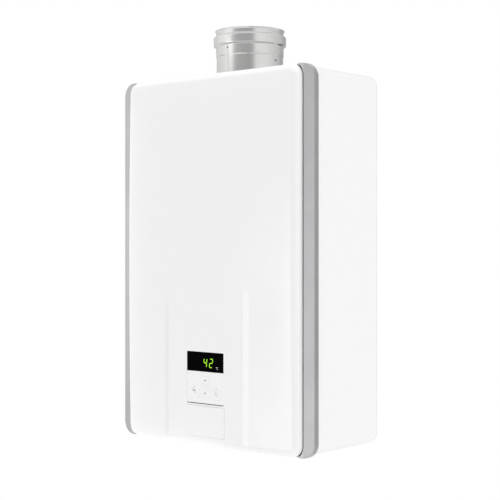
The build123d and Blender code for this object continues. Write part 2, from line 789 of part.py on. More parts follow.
def panel_board():
    """The panel's own small circuit board with a switch under each key."""
    reach = 2 * (PANEL_WALL + FIT)
    back = panel_board_front
    board = plate(PANEL_W - reach, PANEL_H - reach, PANEL_CORNER_R, back - BOARD_T, back, z=panel_mid)
    half = SWITCH_W / 2
    for x, z, _, _ in keys().values():
        board += slab(x - half, x + half, back, back + SWITCH_H - KEY_TRAVEL, z - half, z + half)
        board += outward(SWITCH_TIP_R, x, back, back + SWITCH_H, z)
    return board


def status_lamps():
    """The two light pipes beside the keys."""
    return group(outward(LAMP_R, x, panel_board_front, panel_front, panel_bottom + LAMP_RISE)
                 for x in (-SIDE_KEY_X, SIDE_KEY_X))


def service_plate():
    """The blank plate under the panel, held by a flange behind the cover's sheet."""
    behind = tongue_front - COVER_WALL
    blank = plate(PLATE_W, PLATE_H, PLATE_CORNER_R, behind, tongue_front + PLATE_PROUD, z=plate_mid)
    return blank + plate(PLATE_W + 2 * PLATE_FLANGE, PLATE_H, PLATE_CORNER_R, behind - COVER_WALL, behind,
                         z=plate_mid)


def flue_collar():
    """The outer flue socket: flange, pipe, step, bead and flared rim, turned from one sheet."""
    step = case_top + FLUE_STEP_RISE
    bead = case_top + FLUE_BEAD_RISE
    slope = FLUE_BEAD_R - FLUE_R
    outer = [(FLUE_LOW_R, flue_foot), (FLUE_LOW_R, step - FLUE_STEP_L / 2),
             (FLUE_R, step + FLUE_STEP_L / 2), (FLUE_R, bead),
             (FLUE_BEAD_R, bead + slope / 2), (FLUE_BEAD_R, bead + FLUE_BEAD_H - slope / 2),
             (FLUE_R, bead + FLUE_BEAD_H), (FLUE_R, flue_rim - FLUE_FLARE_H),
             (FLUE_R + FLUE_FLARE, flue_rim)]
    inner = [(r - FLUE_WALL, z) for r, z in outer]
    bead_folds = [FLUE_BEAD_FOOT_R, FLUE_BEAD_EDGE_R, FLUE_BEAD_EDGE_R, FLUE_BEAD_FOOT_R]
    collar = revolved(outer, inner, [FLUE_FOLD_R, FLUE_FOLD_R] + bead_folds + [FLUE_FOLD_R])
    flange = upright(FLUE_FLANGE_R, 0, FLUE_DEPTH, flue_foot, flue_foot + FLUE_FLANGE_T)
    flange -= upright(FLUE_LOW_R - FLUE_WALL, 0, FLUE_DEPTH, flue_foot - 1, flue_foot + FLUE_FLANGE_T + 1)
    for x, depth in flue_screw_places():
        flange -= upright(SCREW_R + HOLE, x, depth, flue_foot - 1, flue_foot + FLUE_FLANGE_T + 1)
    return collar + flange


def flue_gasket():
    """The flat ring under the flue flange."""
    ring = upright(FLUE_FLANGE_R, 0, FLUE_DEPTH, case_top, flue_foot)
    ring -= upright(FLUE_LOW_R - FLUE_WALL, 0, FLUE_DEPTH, case_top - 1, flue_foot + 1)
    for x, depth in flue_screw_places():
        ring -= upright(SCREW_R + HOLE, x, depth, case_top - 1, flue_foot + 1)
    return ring


def flue_seal():
    """The ring seal that lies in the bead."""
    bead = case_top + FLUE_BEAD_RISE
    slope = FLUE_BEAD_R - FLUE_R
    low = bead + slope
    high = bead + FLUE_BEAD_H - slope
    ring = upright(FLUE_BEAD_R - FLUE_WALL - FIT, 0, FLUE_DEPTH, low, high)
    return ring - upright(FLUE_R - FLUE_WALL + FIT, 0, FLUE_DEPTH, low - 1, high + 1)


def exhaust_pipe():
    """The inner exhaust pipe, widened at its top into a socket."""
    top = flue_rim - EXHAUST_DROP
    neck = top - EXHAUST_SOCKET_L
    wide = EXHAUST_R + EXHAUST_WALL + HOLE
    outer = [(EXHAUST_R, hood_top), (EXHAUST_R, neck - FLUE_STEP_L), (wide, neck), (wide, top)]
    inner = [(r - EXHAUST_WALL, z) for r, z in outer]
    pipe = revolved(outer, inner, [FLUE_FOLD_R, FLUE_FOLD_R])
    flange = upright(EXHAUST_FLANGE_R, 0, FLUE_DEPTH, hood_top, hood_top + FLUE_FLANGE_T)
    return pipe + flange - upright(EXHAUST_R - EXHAUST_WALL, 0, FLUE_DEPTH, hood_top - 1, hood_top + 9)


def exhaust_hood():
    """The hood that gathers the exhaust over the heat exchanger."""
    level = Plane.XY.offset(hx_top)
    foot = level * Pos(0, -FLUE_DEPTH) * Rectangle(STACK_W, STACK_D)
    inside = level * Pos(0, -FLUE_DEPTH) * Rectangle(STACK_W - 2 * STACK_WALL, STACK_D - 2 * STACK_WALL)
    skirt = extrude(foot, HOOD_SKIRT) - extrude(inside, HOOD_SKIRT)
    rise = HOOD_H - HOOD_SKIRT
    roof = extrude(Pos(0, 0, HOOD_SKIRT) * foot, rise, taper=HOOD_TAPER)
    roof -= extrude(Pos(0, 0, HOOD_SKIRT) * inside, rise - STACK_WALL, taper=HOOD_TAPER)
    mouth = upright(EXHAUST_R - EXHAUST_WALL, 0, FLUE_DEPTH, hood_top - HOOD_SKIRT, hood_top + 1)
    return skirt + roof - mouth


def heat_exchanger_shell():
    """The copper box round the fins, open above and below, with holes for the tube."""
    half = STACK_W / 2
    inner = half - STACK_WALL
    shell = slab(-half, half, stack_back, stack_front, hx_bottom, hx_top)
    shell -= slab(-inner, inner, stack_back + STACK_WALL, stack_front - STACK_WALL, hx_bottom - 1, hx_top + 1)
    for depth in tube_depths:
        shell -= across(TUBE_R + HOLE, -half - 1, half + 1, depth, tube_z)
    return shell


def heat_exchanger_fins():
    """The stack of thin fins on the tube."""
    pitch = (STACK_W - 2 * STACK_WALL) / (FIN_COUNT + 1)
    near = stack_back + STACK_WALL + FIT
    far = stack_front - STACK_WALL - FIT
    fins = []
    for place in range(FIN_COUNT):
        x = -STACK_W / 2 + STACK_WALL + pitch * (place + 1)
        fin = slab(x - FIN_T / 2, x + FIN_T / 2, near, far, tube_z - FIN_H / 2, tube_z + FIN_H / 2)
        for depth in tube_depths:
            fin -= across(TUBE_R + RUN, x - FIN_T, x + FIN_T, depth, tube_z)
        fins.append(fin)
    return group(fins)


def tube_flange(x, depth):
    """The joining flange of a water tube, from an X place outward."""
    ring = across(TUBE_R + TUBE_FLANGE, x, x + TUBE_FLANGE_T, depth, tube_z)
    return ring - across(TUBE_R - TUBE_WALL, x - 1, x + TUBE_FLANGE_T + 1, depth, tube_z)


def heat_exchanger_tube():
    """The tube that runs to and fro through the fins, with a flange at each end."""
    runs = []
    side = 1
    for row, depth in enumerate(tube_depths):
        far_end = (-side * tube_end, -depth, tube_z)
        runs.append(Line((side * tube_end, -depth, tube_z), far_end))
        if row < TUBE_ROWS - 1:
            bend = (-side * (tube_end + TUBE_PITCH / 2), -(depth + TUBE_PITCH / 2), tube_z)
            runs.append(ThreePointArc(far_end, bend, (-side * tube_end, -tube_depths[row + 1], tube_z)))
        side = -side
    path = Wire([run.edge() for run in runs])
    start = Plane(path @ 0, z_dir=path % 0)
    tube = sweep(start * Circle(TUBE_R), path=path) - sweep(start * Circle(TUBE_R - TUBE_WALL), path=path)
    for depth in (tube_depths[0], tube_depths[-1]):
        tube += tube_flange(tube_end - TUBE_FLANGE_T, depth)
    return tube


def fan_duct(inset):
    """Left edge and right edge of the fan's upward duct."""
    return -FAN_R + inset, FAN_DUCT_W - FAN_R - inset


def burner_box():
    """The box round the burner blades, open above, with the fan's air coming in below."""
    half = STACK_W / 2
    inner = half - STACK_WALL
    box = slab(-half, half, stack_back, stack_front, burner_bottom, hx_bottom)
    box -= slab(-inner, inner, stack_back + STACK_WALL, stack_front - STACK_WALL,
                burner_bottom + STACK_WALL, hx_bottom + 1)
    left, right = fan_duct(FAN_WALL)
    box -= slab(left, right, fan_back + FAN_WALL, fan_front - FAN_WALL, burner_bottom - 1, burner_bottom + 3)
    for x in blade_xs:
        box -= outward(NOZZLE_R + HOLE, x, stack_front - 2 * STACK_WALL, stack_front + 1, nozzle_z)
    for x in ELECTRODE_X:
        box -= outward(ELECTRODE_R + HOLE, x, stack_front - 2 * STACK_WALL, stack_front + 1, electrode_z)
    return box


def burner_blades():
    """The row of flat burners, each with a gas inlet at its front."""
    near = stack_back + STACK_WALL + FIT
    far = stack_front - STACK_WALL - FIT
    low = burner_bottom + BLADE_RISE
    blades = []
    for x in blade_xs:
        blade = slab(x - BLADE_T / 2, x + BLADE_T / 2, near, far, low, low + BLADE_H)
        blade = chamfer(blade.edges().filter_by(Axis.Y).group_by(Axis.Z)[-1], BLADE_T / 4)
        slot = slab(x - BLADE_T / 8, x + BLADE_T / 8, near + BLADE_T, far - BLADE_T, low + BLADE_H / 2,
                    low + BLADE_H + 1)
        inlet = outward(NOZZLE_R + FIT, x, far - 2 * NOZZLE_L, far + 1, nozzle_z)
        blades.append(blade - slot - inlet)
    return group(blades)


def gas_manifold():
    """The cast bar that feeds the nozzles, with a boss below for the gas pipe."""
    left = min(gas_x, blade_xs[0]) - NOZZLE_R - MANIFOLD_END
    right = blade_xs[-1] + NOZZLE_R + MANIFOLD_END
    low = nozzle_z - MANIFOLD_H / 2
    bar = slab(left, right, stack_front, stack_front + MANIFOLD_D, low, low + MANIFOLD_H)
    bar = fillet(bar.edges().filter_by(Axis.X).group_by(Axis.Y)[0], MANIFOLD_D / 5)
    foot = low - GAS_BOSS_H
    boss = upright(GAS_BOSS_R, gas_x, manifold_mid, foot, low + 1)
    bar += boss & slab(left - GAS_BOSS_R, right, stack_front, stack_front + 2 * MANIFOLD_D, foot, low + 1)
    bar -= upright(GAS_PIPE_R + HOLE, gas_x, manifold_mid, foot - 1, foot + GAS_SOCKET)
    for x in blade_xs:
        bar -= outward(NOZZLE_R, x, stack_front - 1, stack_front + NOZZLE_L / 2, nozzle_z)
    return bar


def gas_nozzles():
    """The brass nozzles in the manifold, one per blade."""
    near = stack_front - STACK_WALL - FIT - NOZZLE_L
    far = stack_front + NOZZLE_L / 2
    nozzles = []
    for x in blade_xs:
        nozzle = outward(NOZZLE_R, x, near, far, nozzle_z)
        nozzles.append(nozzle - outward(NOZZLE_BORE_R, x, near - 1, far + 1, nozzle_z))
    return group(nozzles)


def spark_electrodes():
    """Two spark electrodes and a flame rod in the burner box's front."""
    rods = []
    for x in ELECTRODE_X:
        near = stack_front - ELECTRODE_OUT / 2
        rod = outward(ELECTRODE_R, x, near, stack_front + ELECTRODE_OUT, electrode_z)
        rod += outward(ELECTRODE_NUT_R, x, stack_front, stack_front + ELECTRODE_R, electrode_z)
        rod += outward(ELECTRODE_TIP_R, x, stack_front - ELECTRODE_IN, stack_front, electrode_z)
        rods.append(rod)
    return group(rods)


def stack_stays():
    """Two bent stays that carry the stack on the casing's back."""
    stays = []
    for x in (-stay_x, stay_x):
        left, right = x - STAY_W / 2, x + STAY_W / 2
        low = hx_bottom - STAY_H
        stay = slab(left, right, case_back, case_back + STAY_T, low, hx_bottom)
        stay += slab(left, right, case_back, stack_back, low, low + STAY_T)
        stay += slab(left, right, stack_back - STAY_T, stack_back, low - STAY_H, low + STAY_T)
        stays.append(stay)
    return group(stays)


def fan_housing():
    """The fan's scroll with its duct up to the burner box."""
    left, right = fan_duct(0)
    body = outward(FAN_R, 0, fan_back, fan_front, fan_z)
    body += slab(left, right, fan_back, fan_front, fan_z, burner_bottom)
    left, right = fan_duct(FAN_WALL)
    body -= outward(FAN_R - FAN_WALL, 0, fan_back + FAN_WALL, fan_front - FAN_WALL, fan_z)
    body -= slab(left, right, fan_back + FAN_WALL, fan_front - FAN_WALL, fan_z, burner_bottom + 1)
    body -= outward(FAN_INLET_R, 0, fan_back - 1, fan_back + FAN_WALL + 1, fan_z)
    return body - outward(2 * SHAFT_R, 0, fan_front - FAN_WALL - 1, fan_front + 1, fan_z)


def fan_impeller():
    """The fan wheel: a disc at the motor's side, a ring of blades and a hub."""
    near = fan_back + FAN_WALL + IMPELLER_GAP
    far = fan_front - FAN_WALL - IMPELLER_GAP
    wheel = outward(IMPELLER_R, 0, far - IMPELLER_DISC_T, far, fan_z)
    ring = outward(IMPELLER_R, 0, near, near + IMPELLER_DISC_T, fan_z)
    wheel += ring - outward(IMPELLER_R - IMPELLER_BLADE_L, 0, near - 1, near + IMPELLER_DISC_T + 1, fan_z)
    wheel += outward(IMPELLER_HUB_R, 0, far - 2 * IMPELLER_HUB_R, far, fan_z)
    blade = Box(IMPELLER_BLADE_L - IMPELLER_BLADE_T, far - near, IMPELLER_BLADE_T)
    blades = []
    for turn in range(IMPELLER_BLADES):
        spin = Pos(0, -(near + far) / 2, fan_z) * Rot(0, 360 / IMPELLER_BLADES * turn, 0)
        blades.append(spin * Pos(IMPELLER_R - IMPELLER_BLADE_L / 2, 0, 0) * Rot(0, IMPELLER_PITCH, 0) * blade)
    wheel += blades
    return wheel - outward(SHAFT_R, 0, near - 1, far + 1, fan_z)


def fan_shaft():
    """The shaft from the fan wheel into the motor."""
    far = fan_front - FAN_WALL - IMPELLER_GAP
    return outward(SHAFT_R, 0, far - 2 * IMPELLER_HUB_R, motor_front - MOTOR_L / 4, fan_z)


def fan_motor():
    """The motor on the scroll's front, bored for the shaft."""
    half = MOTOR_FLANGE / 2 - MOTOR_HOLE_INSET
    can = fan_front + MOTOR_FLANGE_T
    motor = plate(MOTOR_FLANGE, MOTOR_FLANGE, KEYHOLE_R, fan_front, can, z=fan_z)
    motor += fillet(outward(MOTOR_R, 0, can, motor_front, fan_z).edges().group_by(Axis.Y)[0], MOTOR_R / 8)
    for x in (-half, half):
        for z in (fan_z - half, fan_z + half):
            motor -= outward(SCREW_R, x, fan_front - 1, can + 1, z)
    return motor - outward(SHAFT_R + RUN, 0, fan_front - 1, motor_front - MOTOR_L / 4 + FIT, fan_z)


def base_plate():
    """The plate over the casing's floor opening, with holes for every connection."""
    sheet = slab(-base_w / 2, base_w / 2, SERVICE_DEPTH - BASE_D / 2, SERVICE_DEPTH + BASE_D / 2,
                 case_floor, base_top)
    holes = [(x, SERVICE_DEPTH, SHOULDER_R + HOLE) for x in (cold_x, hot_x, gas_x)]
    holes += [(x, SERVICE_DEPTH + DRAIN_DEPTH, DRAIN_STEM_R + HOLE) for x in (cold_x, hot_x)]
    holes += [(cable_x, cable_depth, GROMMET_R - GROMMET_NECK + RUN)]
    holes += [(x, depth, SCREW_R + HOLE) for x, depth in base_screw_places()]
    for x, depth, radius in holes:
        sheet -= upright(radius, x, depth, case_floor - 1, base_top + 1)
    return sheet


def connection(x):
    """One threaded connection: hex collar on the base plate, shoulder through it and stub below."""
    foot = -case_top - SHOULDER_DROP
    end = foot - STUB_L - STUB_CHAMFER
    hexagon = Plane.XY.offset(base_top) * Pos(x, -SERVICE_DEPTH) * RegularPolygon(COLLAR_R, 6)
    body = extrude(hexagon, COLLAR_H) + upright(SHOULDER_R, x, SERVICE_DEPTH, foot, base_top)
    stub = upright(STUB_R, x, SERVICE_DEPTH, end, foot)
    body += chamfer(stub.edges().group_by(Axis.Z)[0], STUB_CHAMFER)
    return body - upright(STUB_BORE_R, x, SERVICE_DEPTH, end - 1, collar_top + 1)


def water_connection(x):
    """A connection with an arm to its drain plug."""
    depth = SERVICE_DEPTH + DRAIN_DEPTH
    arm = slab(x - DRAIN_R, x + DRAIN_R, SERVICE_DEPTH, depth + DRAIN_R, base_top, collar_top)
    arm = fillet(arm.edges().filter_by(Axis.Z).group_by(Axis.Y)[0], DRAIN_R / 2)
    arm -= upright(STUB_BORE_R, x, SERVICE_DEPTH, base_top - 1, collar_top + 1)
    arm -= upright(DRAIN_STEM_R + HOLE, x, depth, base_top - 1, base_top + DRAIN_STEM_L)
    return connection(x) + arm


def drain_plugs():
    """The two fluted drain plugs under the base plate."""
    depth = SERVICE_DEPTH + DRAIN_DEPTH
    plugs = []
    for x in (hot_x, cold_x):
        plug = upright(DRAIN_R, x, depth, case_floor - DRAIN_H, case_floor)
        for turn in range(DRAIN_FLUTES):
            angle = radians(360 / DRAIN_FLUTES * turn)
            plug -= upright(DRAIN_FLUTE_R, x + DRAIN_R * cos(angle), depth + DRAIN_R * sin(angle),
                            case_floor - DRAIN_H - 1, case_floor - DRAIN_H / 4)
        plugs.append(plug + upright(DRAIN_STEM_R, x, depth, case_floor, base_top + DRAIN_STEM_L - FIT))
    return group(plugs)


def cable_grommet():
    """The rubber grommet for the supply cable."""
    neck = GROMMET_R - GROMMET_NECK
    body = upright(neck, cable_x, cable_depth, case_floor, base_top)
    body += upright(GROMMET_R, cable_x, cable_depth, base_top, base_top + GROMMET_H)
    body += upright(GROMMET_R, cable_x, cable_depth, case_floor - GROMMET_H, case_floor)
    return body - upright(GROMMET_BORE_R, cable_x, cable_depth, case_floor - 9, base_top + 9)


def gas_valve_body():
    """The cast gas valve on the gas inlet, bored for its two plungers."""
    body = slab(gas_x - VALVE_W / 2, gas_x + VALVE_W / 2, SERVICE_DEPTH - VALVE_D / 2, valve_front,
                collar_top, valve_top)
    body = fillet(body.edges().filter_by(Axis.Z), VALVE_EDGE_R)
    for z in coil_z:
        body -= outward(PLUNGER_R + RUN, gas_x, valve_front - PLUNGER_IN - FIT, valve_front + 1, z)
    body -= upright(STUB_BORE_R, gas_x, SERVICE_DEPTH - VALVE_D / 6, collar_top - 1, collar_top + VALVE_H / 4)
    return body - upright(GAS_PIPE_R + HOLE, gas_x, SERVICE_DEPTH, valve_top - GAS_SOCKET, valve_top + 1)


def gas_solenoids():
    """The two solenoid coils on the gas valve's front."""
    coils = []
    for z in coil_z:
        coil = outward(COIL_R, gas_x, valve_front, valve_front + COIL_L, z)
        coil = fillet(coil.edges().group_by(Axis.Y)[0], COIL_R / 6)
        coils.append(coil - outward(PLUNGER_R + RUN, gas_x, valve_front - 1,
                                    valve_front + PLUNGER_OUT + PLUNGER_TRAVEL + FIT, z))
    return group(coils)


def valve_plunger(z):
    """One gas valve plunger, seated in the valve body and free to pull forward into its coil."""
    rod = outward(PLUNGER_R, gas_x, valve_front - PLUNGER_IN, valve_front + PLUNGER_OUT, z)
    return chamfer(rod.edges().filter_by(GeomType.CIRCLE), PLUNGER_CHAMFER)


def gas_pipe():
    """The pipe from the gas valve up to the manifold."""
    end = nozzle_z - MANIFOLD_H / 2 - GAS_BOSS_H + GAS_SOCKET
    start = valve_top - GAS_SOCKET
    turn = (start + end) / 2
    points = [(gas_x, SERVICE_DEPTH, start), (gas_x, SERVICE_DEPTH, turn - BEND_R),
              (gas_x, manifold_mid, turn + BEND_R), (gas_x, manifold_mid, end)]
    return swept(points, BEND_R, GAS_PIPE_R, GAS_PIPE_R - GAS_PIPE_WALL)


def turbine_planes():
    """Lower and upper end of the turbine's rotor."""
    low = collar_top + TURBINE_RISE
    return low, low + TURBINE_H


def flow_valve_body():
    """The flow valve: a tube with turbine bearings, a boss for the servo and a socket for the pipe."""
    body = upright(FLOW_R, cold_x, SERVICE_DEPTH, collar_top, flow_top)
    half = SERVO_W / 2
    body += slab(cold_x - half, cold_x + half, SERVICE_DEPTH, servo_back, spindle_z - half, spindle_z + half)
    body -= upright(FLOW_BORE_R, cold_x, SERVICE_DEPTH, collar_top - 1, flow_top - FLOW_CAP)
    body -= upright(TUBE_R - TUBE_WALL, cold_x, SERVICE_DEPTH, flow_top - FLOW_CAP - 1, flow_top + 1)
    body -= upright(TUBE_R + HOLE, cold_x, SERVICE_DEPTH, flow_top - FLOW_SOCKET, flow_top + 1)
    low, high = turbine_planes()
    for z0 in (low - FIT - FLOW_BAR, high + FIT):
        bar = slab(cold_x - FLOW_BORE_R - 1, cold_x + FLOW_BORE_R + 1, SERVICE_DEPTH - FLOW_BAR / 2,
                   SERVICE_DEPTH + FLOW_BAR / 2, z0, z0 + FLOW_BAR)
        body += bar - upright(TURBINE_SHAFT_R + RUN, cold_x, SERVICE_DEPTH, z0 - 1, z0 + FLOW_BAR + 1)
    return body - outward(SPINDLE_R + RUN, cold_x, SERVICE_DEPTH, servo_back + 1, spindle_z)


def flow_turbine():
    """The small turbine wheel that counts the flow."""
    low, high = turbine_planes()
    wheel = upright(TURBINE_HUB_R, cold_x, SERVICE_DEPTH, low, high)
    reach = FLOW_BAR - FIT
    wheel += upright(TURBINE_SHAFT_R, cold_x, SERVICE_DEPTH, low - reach, high + reach)
    for turn in range(TURBINE_VANES):
        place = Pos(cold_x, -SERVICE_DEPTH, (low + high) / 2) * Rot(0, 0, 360 / TURBINE_VANES * turn)
        wheel += place * Pos(TURBINE_R / 2, 0, 0) * Box(TURBINE_R, TURBINE_VANE_T, TURBINE_H)
    return wheel


def flow_servo():
    """The geared motor that turns the flow spindle."""
    body = plate(SERVO_W, SERVO_W, VALVE_EDGE_R, servo_back, servo_back + SERVO_D, cold_x, spindle_z)
    return body - outward(SPINDLE_R + RUN, cold_x, servo_back - 1, servo_back + SERVO_BORE + FIT, spindle_z)


def flow_spindle():
    """The spindle with the throttle disc, carried in the flow valve's boss."""
    rod = outward(SPINDLE_R, cold_x, SERVICE_DEPTH, servo_back + SERVO_BORE, spindle_z)
    half = SPINDLE_DISC_T / 2
    disc = upright(SPINDLE_DISC_R, cold_x, SERVICE_DEPTH, spindle_z - half, spindle_z + half)
    return rod + disc


def cold_pipe():
    """The pipe from the flow valve up to the heat exchanger's rear row."""
    depth = tube_depths[0]
    start = flow_top - FLOW_SOCKET
    points = [(cold_x, SERVICE_DEPTH, start), (cold_x, SERVICE_DEPTH, flow_top + 2 * BEND_R),
              (riser_x, depth, flow_top + 5 * BEND_R), (riser_x, depth, tube_z), (tube_end, depth, tube_z)]
    return swept(points, BEND_R, TUBE_R, TUBE_R - TUBE_WALL) + tube_flange(tube_end, depth)


def hot_pipe():
    """The pipe from the heat exchanger's front row down to the hot outlet."""
    depth = tube_depths[-1]
    drop_x = tube_end + TUBE_R + BEND_R
    behind = box_back - TUBE_R - 2 * LEAD_CLEAR
    beside_fan = FAN_R + HOT_FAN_GAP + TUBE_R
    points = [(tube_end, depth, tube_z), (drop_x, depth, tube_z), (drop_x, behind, tube_z - 3 * BEND_R),
              (drop_x, behind, burner_bottom - BEND_R), (beside_fan, SERVICE_DEPTH, fan_z),
              (hot_x, SERVICE_DEPTH, collar_top + COLLAR_H + BEND_R), (hot_x, SERVICE_DEPTH, collar_top)]
    pipe = swept(points, BEND_R, TUBE_R, TUBE_R - TUBE_WALL)
    nut = Plane.XY.offset(collar_top) * Pos(hot_x, -SERVICE_DEPTH) * RegularPolygon(HOT_NUT_R, 6)
    foot = extrude(nut, COLLAR_H)
    foot -= upright(TUBE_R - TUBE_WALL, hot_x, SERVICE_DEPTH, collar_top - 1, collar_top + COLLAR_H + 1)
    return pipe + tube_flange(tube_end, depth) + foot


def board_case():
    """The open tray that holds the control board, on lugs at the casing's right side."""
    tray = slab(box_left, box_right, box_back, box_front, box_bottom, box_top)
    tray = fillet(tray.edges().filter_by(Axis.Y), VALVE_EDGE_R)
    tray -= slab(box_left + BOX_WALL, box_right - BOX_WALL, box_back + BOX_WALL, box_front + 1,
                 box_bottom + BOX_WALL, box_top - BOX_WALL)
    for x, z in board_posts():
        tray += outward(BOX_POST_R, x, box_back + BOX_WALL, board_back, z)
    for z in (box_bottom + BOX_H / 5, box_top - BOX_H / 5):
        tray += slab(box_right, case_side, box_back, box_back + BOX_LUG_W, z - BOX_LUG_W, z + BOX_LUG_W)
    return tray


def board_posts():
    """X and Z of the posts under the control board."""
    x = box_w / 2 - BOX_WALL - BOARD_MARGIN - 2 * BOX_POST_R
    z = BOX_H / 2 - BOX_WALL - BOARD_MARGIN - 2 * BOX_POST_R
    middle = (box_bottom + box_top) / 2
    return [(box_mid + side * x, middle + end * z) for side in (-1, 1) for end in (-1, 1)]


def control_board():
    """The control board."""
    margin = BOX_WALL + BOARD_MARGIN
    return slab(box_left + margin, box_right - margin, board_back, board_front,
                box_bottom + margin, box_top - margin)


def board_row(pitch):
    """Middles of the parts in one row across the control board."""
    count = int((box_w - 2 * (BOX_WALL + BOARD_MARGIN)) // pitch)
    return [box_mid + (place - (count - 1) / 2) * pitch for place in range(count)]


def heat_sink(low):
    """The finned heat sink on the control board, from a height upward."""
    half = box_w / 2 - BOX_WALL - 2 * BOARD_MARGIN
    sink = slab(box_mid - half, box_mid + half, board_front, board_front + SINK_T, low, low + SINK_H)
    pitch = (2 * half - SINK_FIN_T) / (SINK_FINS - 1)
    for place in range(SINK_FINS):
        x = box_mid - half + place * pitch
        sink += slab(x, x + SINK_FIN_T, board_front, board_front + SINK_D, low, low + SINK_H)
    return sink


def board_block(x, width, depth, low, height):
    """One block-shaped part on the control board."""
    return slab(x - width / 2, x + width / 2, board_front, board_front + depth, low, low + height)


def board_components():
    """Sockets, relays, capacitors, a transformer, a heat sink and a chip, in rows up the control board."""
    heights = [SOCKET_H, RELAY_H, 2 * CAP_R, COIL_BLOCK_H, SINK_H, CHIP_W]
    margin = BOX_WALL + BOARD_MARGIN
    gap = (BOX_H - 2 * margin - sum(heights)) / (len(heights) + 1)
    lows = [box_bottom + margin + gap * (row + 1) + sum(heights[:row]) for row in range(len(heights))]
    parts = [board_block(x, SOCKET_W, SOCKET_D, lows[0], SOCKET_H) for x in board_row(SOCKET_PITCH)]
    parts += [board_block(x, RELAY_W, RELAY_D, lows[1], RELAY_H) for x in board_row(RELAY_PITCH)]
    cap_end = board_front + CAP_L
    parts += [outward(CAP_R, x, board_front, cap_end, lows[2] + CAP_R) for x in board_row(CAP_PITCH)]
    parts.append(board_block(box_mid, COIL_BLOCK_W, COIL_BLOCK_D, lows[3], COIL_BLOCK_H))
    parts.append(heat_sink(lows[4]))
    parts.append(board_block(box_mid, CHIP_W, CHIP_T, lows[5], CHIP_W))
    return group(parts)


def igniter():
    """The spark igniter on the casing's back, left of the stack."""
    return plate(IGNITER_W, IGNITER_H, VALVE_EDGE_R, case_back, case_back + IGNITER_D, igniter_x, IGNITER_Z)


def lead_place(place):
    """X of one lead's place along the board case's floor."""
    return box_left + place * box_w / LEAD_PLACES


def board_lead(place, end):
    """A lead from a place along the board case's floor to a point that it reaches from the right."""
    x = lead_place(place)
    depth = box_front - LEAD_CLEAR
    side = max(end[0] + 3 * LEAD_BEND, cold_x - SERVO_W / 2 - 3 * LEAD_BEND)
    level = min(box_bottom - 2 * LEAD_BEND, end[2] + 4 * LEAD_BEND)
    points = [(x, depth, box_bottom), (x, depth, level), (side, end[1], end[2]), end]
    return swept(points, LEAD_BEND, LEAD_R)


def spark_lead(place):
    """A lead from the igniter round the stack's left side to one spark electrode."""
    ahead = stack_front + MANIFOLD_D + LEAD_CLEAR + LEAD_R
    x = igniter_x + (place - 0.5) * 3 * LEAD_CLEAR
    z = IGNITER_Z + (place - 0.5) * 4 * LEAD_CLEAR
    tip = ELECTRODE_X[place]
    points = [(x, case_back + IGNITER_D, z), (x, ahead, z), (tip, ahead, electrode_z),
              (tip, stack_front + ELECTRODE_OUT, electrode_z)]
    return swept(points, [LEAD_BEND, LEAD_BEND / 2], LEAD_R)


def power_lead():
    """The supply terminal on the base plate and its lead to the board case."""
    depth = SERVICE_DEPTH + TERMINAL_DEPTH
    half = TERMINAL_W / 2
    top = base_top + TERMINAL_H
    block = slab(cable_x - half, cable_x + half, depth - half / 2, depth + half / 2, base_top, top)
    front = box_front - LEAD_CLEAR
    level = collar_top + 4 * LEAD_CLEAR
    right = lead_place(12)
    points = [(cable_x, depth, top), (cable_x, depth, level), (cable_x, front, level),
              (right, front, level), (right, front, box_bottom)]
    return block + swept(points, LEAD_BEND, POWER_R)


def panel_lead():
    """The panel's plug and its lead from the board case."""
    half_w = PLUG_W / 2
    half_h = PLUG_H / 2
    back = panel_inside - PLUG_D
    plug = slab(-half_w, half_w, back, panel_inside, panel_mid - half_h, panel_mid + half_h)
    x = lead_place(1)
    front = box_front - LEAD_CLEAR
    points = [(x, front, box_bottom), (x, front, panel_mid), (0, front, panel_mid), (0, back, panel_mid)]
    return plug + swept(points, LEAD_BEND, LEAD_R)


def wiring_harness():
    """The leads between the board, the fan, the valves, the igniter and the panel's plug."""
    leads = [spark_lead(0), spark_lead(1), power_lead(), panel_lead()]
    leads.append(board_lead(5, (MOTOR_R + FIT, fan_front + MOTOR_L / 2, fan_z)))
    leads.append(board_lead(3, (gas_x + COIL_R + FIT, valve_front + COIL_L / 2, coil_z[1])))
    leads.append(board_lead(10, (cold_x + SERVO_W / 2 + FIT, servo_back + SERVO_D / 2, spindle_z)))
    return group(leads)


def casing_parts():
    """Nodes of the casing and the screws in it."""
    return {"rear_casing": rear_casing(), "front_gasket": front_gasket(), "wall_brackets": wall_brackets(),
            "casing_screws": casing_screws(), "cover_screws": cover_screws(), "base_plate": base_plate(),
            "cable_grommet": cable_grommet()}


def cover_parts():
    """Nodes that come away with the front cover, and the keys in its panel."""
    nodes = {"front_cover": front_cover(), "cover_frame": cover_frame(), "left_trim": side_trim(-1),
             "right_trim": side_trim(1), "service_plate": service_plate(), "panel_housing": panel_housing(),
             "display_window": display_window(), "display_digits": group(digit_bars(0.0)),
             "key_fascia": key_fascia(), "panel_board": panel_board(), "status_lamps": status_lamps()}
    nodes.update({name: key_button(name) for name in keys()})
    return nodes


def stack_parts():
    """Nodes of the flue, the heat exchanger, the burner and the fan."""
    return {"flue_collar": flue_collar(), "flue_gasket": flue_gasket(), "flue_seal": flue_seal(),
            "exhaust_pipe": exhaust_pipe(), "exhaust_hood": exhaust_hood(),
            "heat_exchanger_shell": heat_exchanger_shell(), "heat_exchanger_fins": heat_exchanger_fins(),
            "heat_exchanger_tube": heat_exchanger_tube(), "burner_box": burner_box(),
            "burner_blades": burner_blades(), "gas_manifold": gas_manifold(), "gas_nozzles": gas_nozzles(),
            "spark_electrodes": spark_electrodes(), "stack_stays": stack_stays(),
            "fan_housing": fan_housing(), "fan_impeller": fan_impeller(), "fan_shaft": fan_shaft(),
            "fan_motor": fan_motor()}


